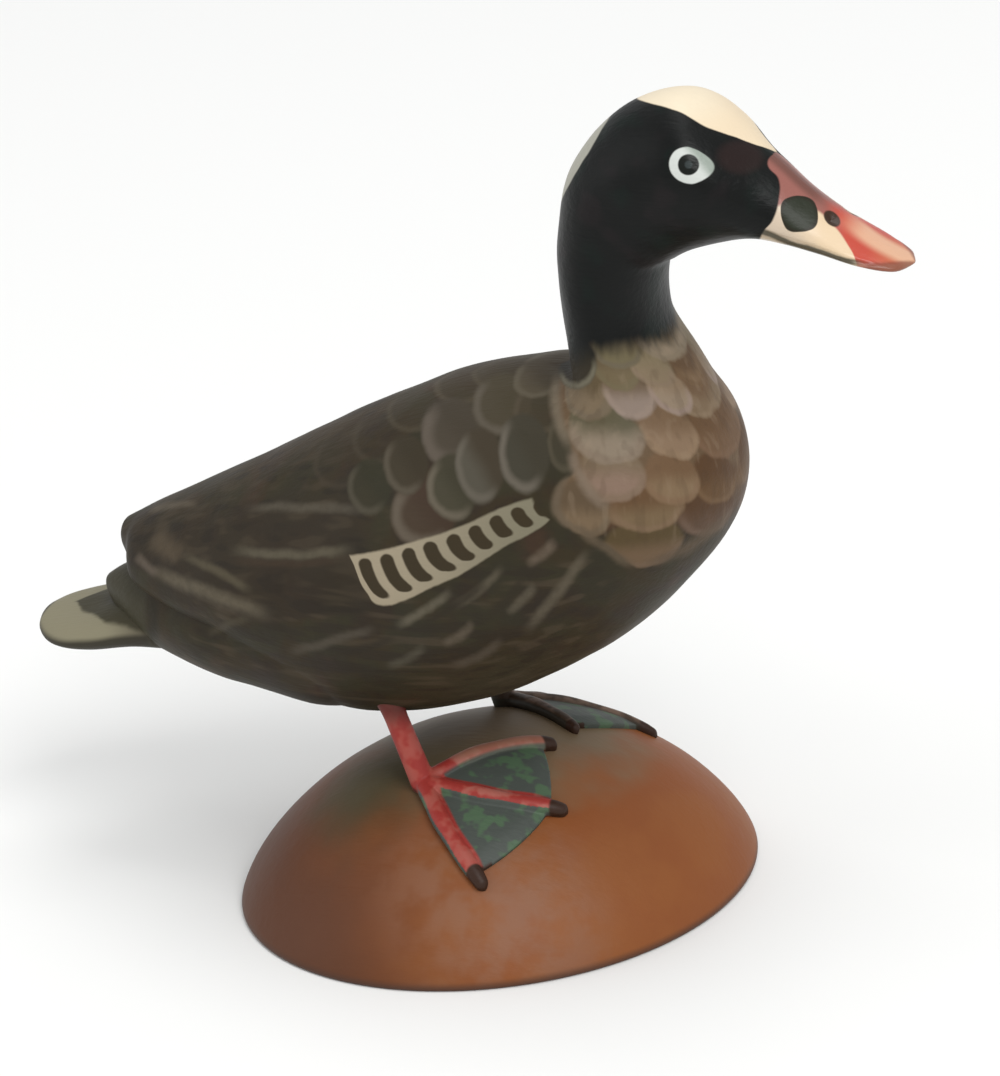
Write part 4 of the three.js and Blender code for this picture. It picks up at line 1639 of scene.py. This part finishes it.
    def _masks(self, leg: bpy.types.Object) -> None:
        """Marks each vertex of the leg for the paint: web, claw, low side for painted shade, wear, and crown
        (the upward faces) for the far leg's painted highlight.
        """
        places, ankle = points_of(leg), self._ankle()
        rise = places[:, 2] - self.mound.height_at(places[:, 0], places[:, 1])
        plan = places[:, :2] - ankle
        off_toes = np.full(len(places), self.off_foot)
        claw, wear = np.zeros(len(places)), np.zeros(len(places))
        for toe in self.foot.toes:
            way = toe.way()
            distance = plan @ way
            along = distance / toe.length
            left = plan @ np.array([-way[1], way[0]])
            aside = np.abs(left - toe.bowed(np.clip(distance, 0, toe.length)))
            half = 0.5 * self.foot.toe_width * self._toe_size(np.clip(along, 0, 1))
            off = np.where((along > -0.05) & (along < 1.05), aside - half, self.off_foot)
            off_toes = np.minimum(off_toes, off)
            claw = np.maximum(claw, smooth_step(along, 0.885, 0.905) * (aside < 2.0))
            wear += toe.wear * np.exp(-((aside / 2.2) ** 2)) * smooth_step(along, 0.05, 0.35)
        from_ankle = np.hypot(*plan.T)
        marks = {
            "web": smooth_step(off_toes, -0.12, 0.12) * smooth_step(from_ankle, 1.6, 2.4) * (rise < 1.6),
            "claw": claw,
            "low": smooth_step(rise, 1.4, 0.5),
            "wear": np.clip(wear, 0, 1),
            "crown": smooth_step(normals_of(leg)[:, 2], 0.4, 0.9),
        }
        for name, values in marks.items():
            leg.data.attributes.new(name, "FLOAT", "POINT").data.foreach_set("value", values.astype(float))

    def build(self) -> bpy.types.Object:
        """Builds the leg in one piece, its parts run softly into one another.

        Returns:
            The finished piece.
        """
        first, second, third = self.foot.toes
        parts = [self._shank(), self._toe(first), self._toe(second), self._toe(third)]
        parts += [self._web(first, second), self._web(second, third)]
        select_only(*parts)
        bpy.ops.object.join()
        leg = bpy.context.object
        leg.name = leg.data.name = f"webbed_foot_{self.foot.side.name.lower()}"
        apply_modifier(leg, "REMESH", mode="VOXEL", voxel_size=self.grain * MM)
        apply_modifier(leg, "SMOOTH", factor=0.5, iterations=4)
        places = points_of(leg)
        ground = self.mound.height_at(places[:, 0], places[:, 1])
        places[:, 2] = np.maximum(places[:, 2], ground - self.sunk)
        move_points(leg, places)
        self._masks(leg)
        select_only(leg)
        bpy.ops.object.shade_smooth()
        return leg

    def dress(self, piece: bpy.types.Object, effects: Effects) -> None:
        """Paints the leg and gives it its place in the frame."""
        hand_over(piece, LegPaint().material(effects, self.foot.worn_and_shaded), self.node)


# The studio


@dataclass
class Studio:
    """A pale floor, soft light and the camera."""

    azimuth: float = 24.937
    elevation: float = 26.87
    roll: float = 4.839
    distance: float = 700.0
    aim_right: float = 3.395
    aim_up: float = 40.143
    lens: float = 194.849
    sensor: float = 36.0
    floor_size: float = 6.0
    floor_colour: Colour = (240, 240, 238)
    floor_rough: float = 0.9
    room_colour: Colour = (245, 246, 248)
    room_light: float = 0.63
    aim_of_lights: Place = (0.0, 0.0, 0.05)
    lights: tuple[tuple[str, Place, float, float], ...] = (
        ("key light", (0.75, -0.62, 1.15), 0.75, 11.4),
        ("fill light", (-0.95, -0.55, 0.55), 0.9, 2.5),
        ("top light", (0.05, 0.25, 1.3), 0.8, 4.4),
    )

    def build(self) -> None:
        """Sets up the floor, the lights and the camera."""
        bpy.context.scene.view_settings.view_transform = "Standard"
        self._floor()
        self._world()
        for light in self.lights:
            self._light(*light)
        self._camera()

    def _floor(self) -> None:
        """Lays the floor just under the object."""
        clear_selection()
        bpy.ops.mesh.primitive_plane_add(size=self.floor_size, location=(0, 0, 0))
        floor = bpy.context.object
        floor.name = "floor"
        material = bpy.data.materials.new("pale floor")
        material.use_nodes = True
        shader = material.node_tree.nodes["Principled BSDF"]
        shader.inputs["Base Color"].default_value = linear(self.floor_colour)
        shader.inputs["Roughness"].default_value = self.floor_rough
        floor.data.materials.append(material)

    def _world(self) -> None:
        """Lights the room evenly."""
        world = bpy.data.worlds.new("room")
        world.use_nodes = True
        background = world.node_tree.nodes["Background"]
        background.inputs["Color"].default_value = linear(self.room_colour)
        background.inputs["Strength"].default_value = self.room_light
        bpy.context.scene.world = world

    def _light(self, name: str, place: Place, size: float, power: float) -> None:
        """Adds a square soft light that faces the object.

        Args:
            name: the light's name.
            place: its place in metres.
            size: its side in metres.
            power: its power in watts.
        """
        clear_selection()
        bpy.ops.object.light_add(type="AREA", location=place)
        light = bpy.context.object
        light.name = name
        light.data.size = size
        light.data.energy = power
        way = Vector(self.aim_of_lights) - Vector(place)
        light.rotation_euler = way.to_track_quat("-Z", "Y").to_euler()

    def _camera(self) -> None:
        """Stands the camera where the photograph was taken."""
        azimuth, elevation = math.radians(self.azimuth), math.radians(self.elevation)
        level_share = math.cos(elevation)
        away = Vector((
            math.sin(azimuth) * level_share, -math.cos(azimuth) * level_share, math.sin(elevation)
        ))
        side = Vector((math.cos(azimuth), math.sin(azimuth), 0.0))
        place = away * self.distance
        target = side * self.aim_right + away.cross(side) * self.aim_up
        back = (place - target).normalized()
        level = Vector((0, 0, 1)).cross(back).normalized()
        upright = back.cross(level)
        roll = math.radians(self.roll)
        right = level * math.cos(roll) - upright * math.sin(roll)
        up = level * math.sin(roll) + upright * math.cos(roll)
        camera = bpy.data.objects.new("camera", bpy.data.cameras.new("camera"))
        bpy.context.collection.objects.link(camera)
        turn = Matrix((right, up, back)).transposed()
        camera.matrix_world = Matrix.Translation(place * MM) @ turn.to_4x4()
        camera.data.lens = self.lens
        camera.data.sensor_width = self.sensor
        camera.data.dof.use_dof = False
        bpy.context.scene.camera = camera


def main() -> None:
    """Builds and paints the pieces in order, then sets up the studio."""
    logging.basicConfig(level=logging.INFO, format="%(name)s: %(message)s")
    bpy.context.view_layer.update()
    effects = Effects()
    mound = Mound()
    makers = (
        mound,
        Leg(mound, "right_leg_and_foot", RIGHT_FOOT),
        Leg(mound, "left_leg_and_foot", LEFT_FOOT),
        CarvedBird(),
    )
    for maker in makers:
        maker.dress(maker.build(), effects)
    Studio().build()


if __name__ == "__main__":
    main()
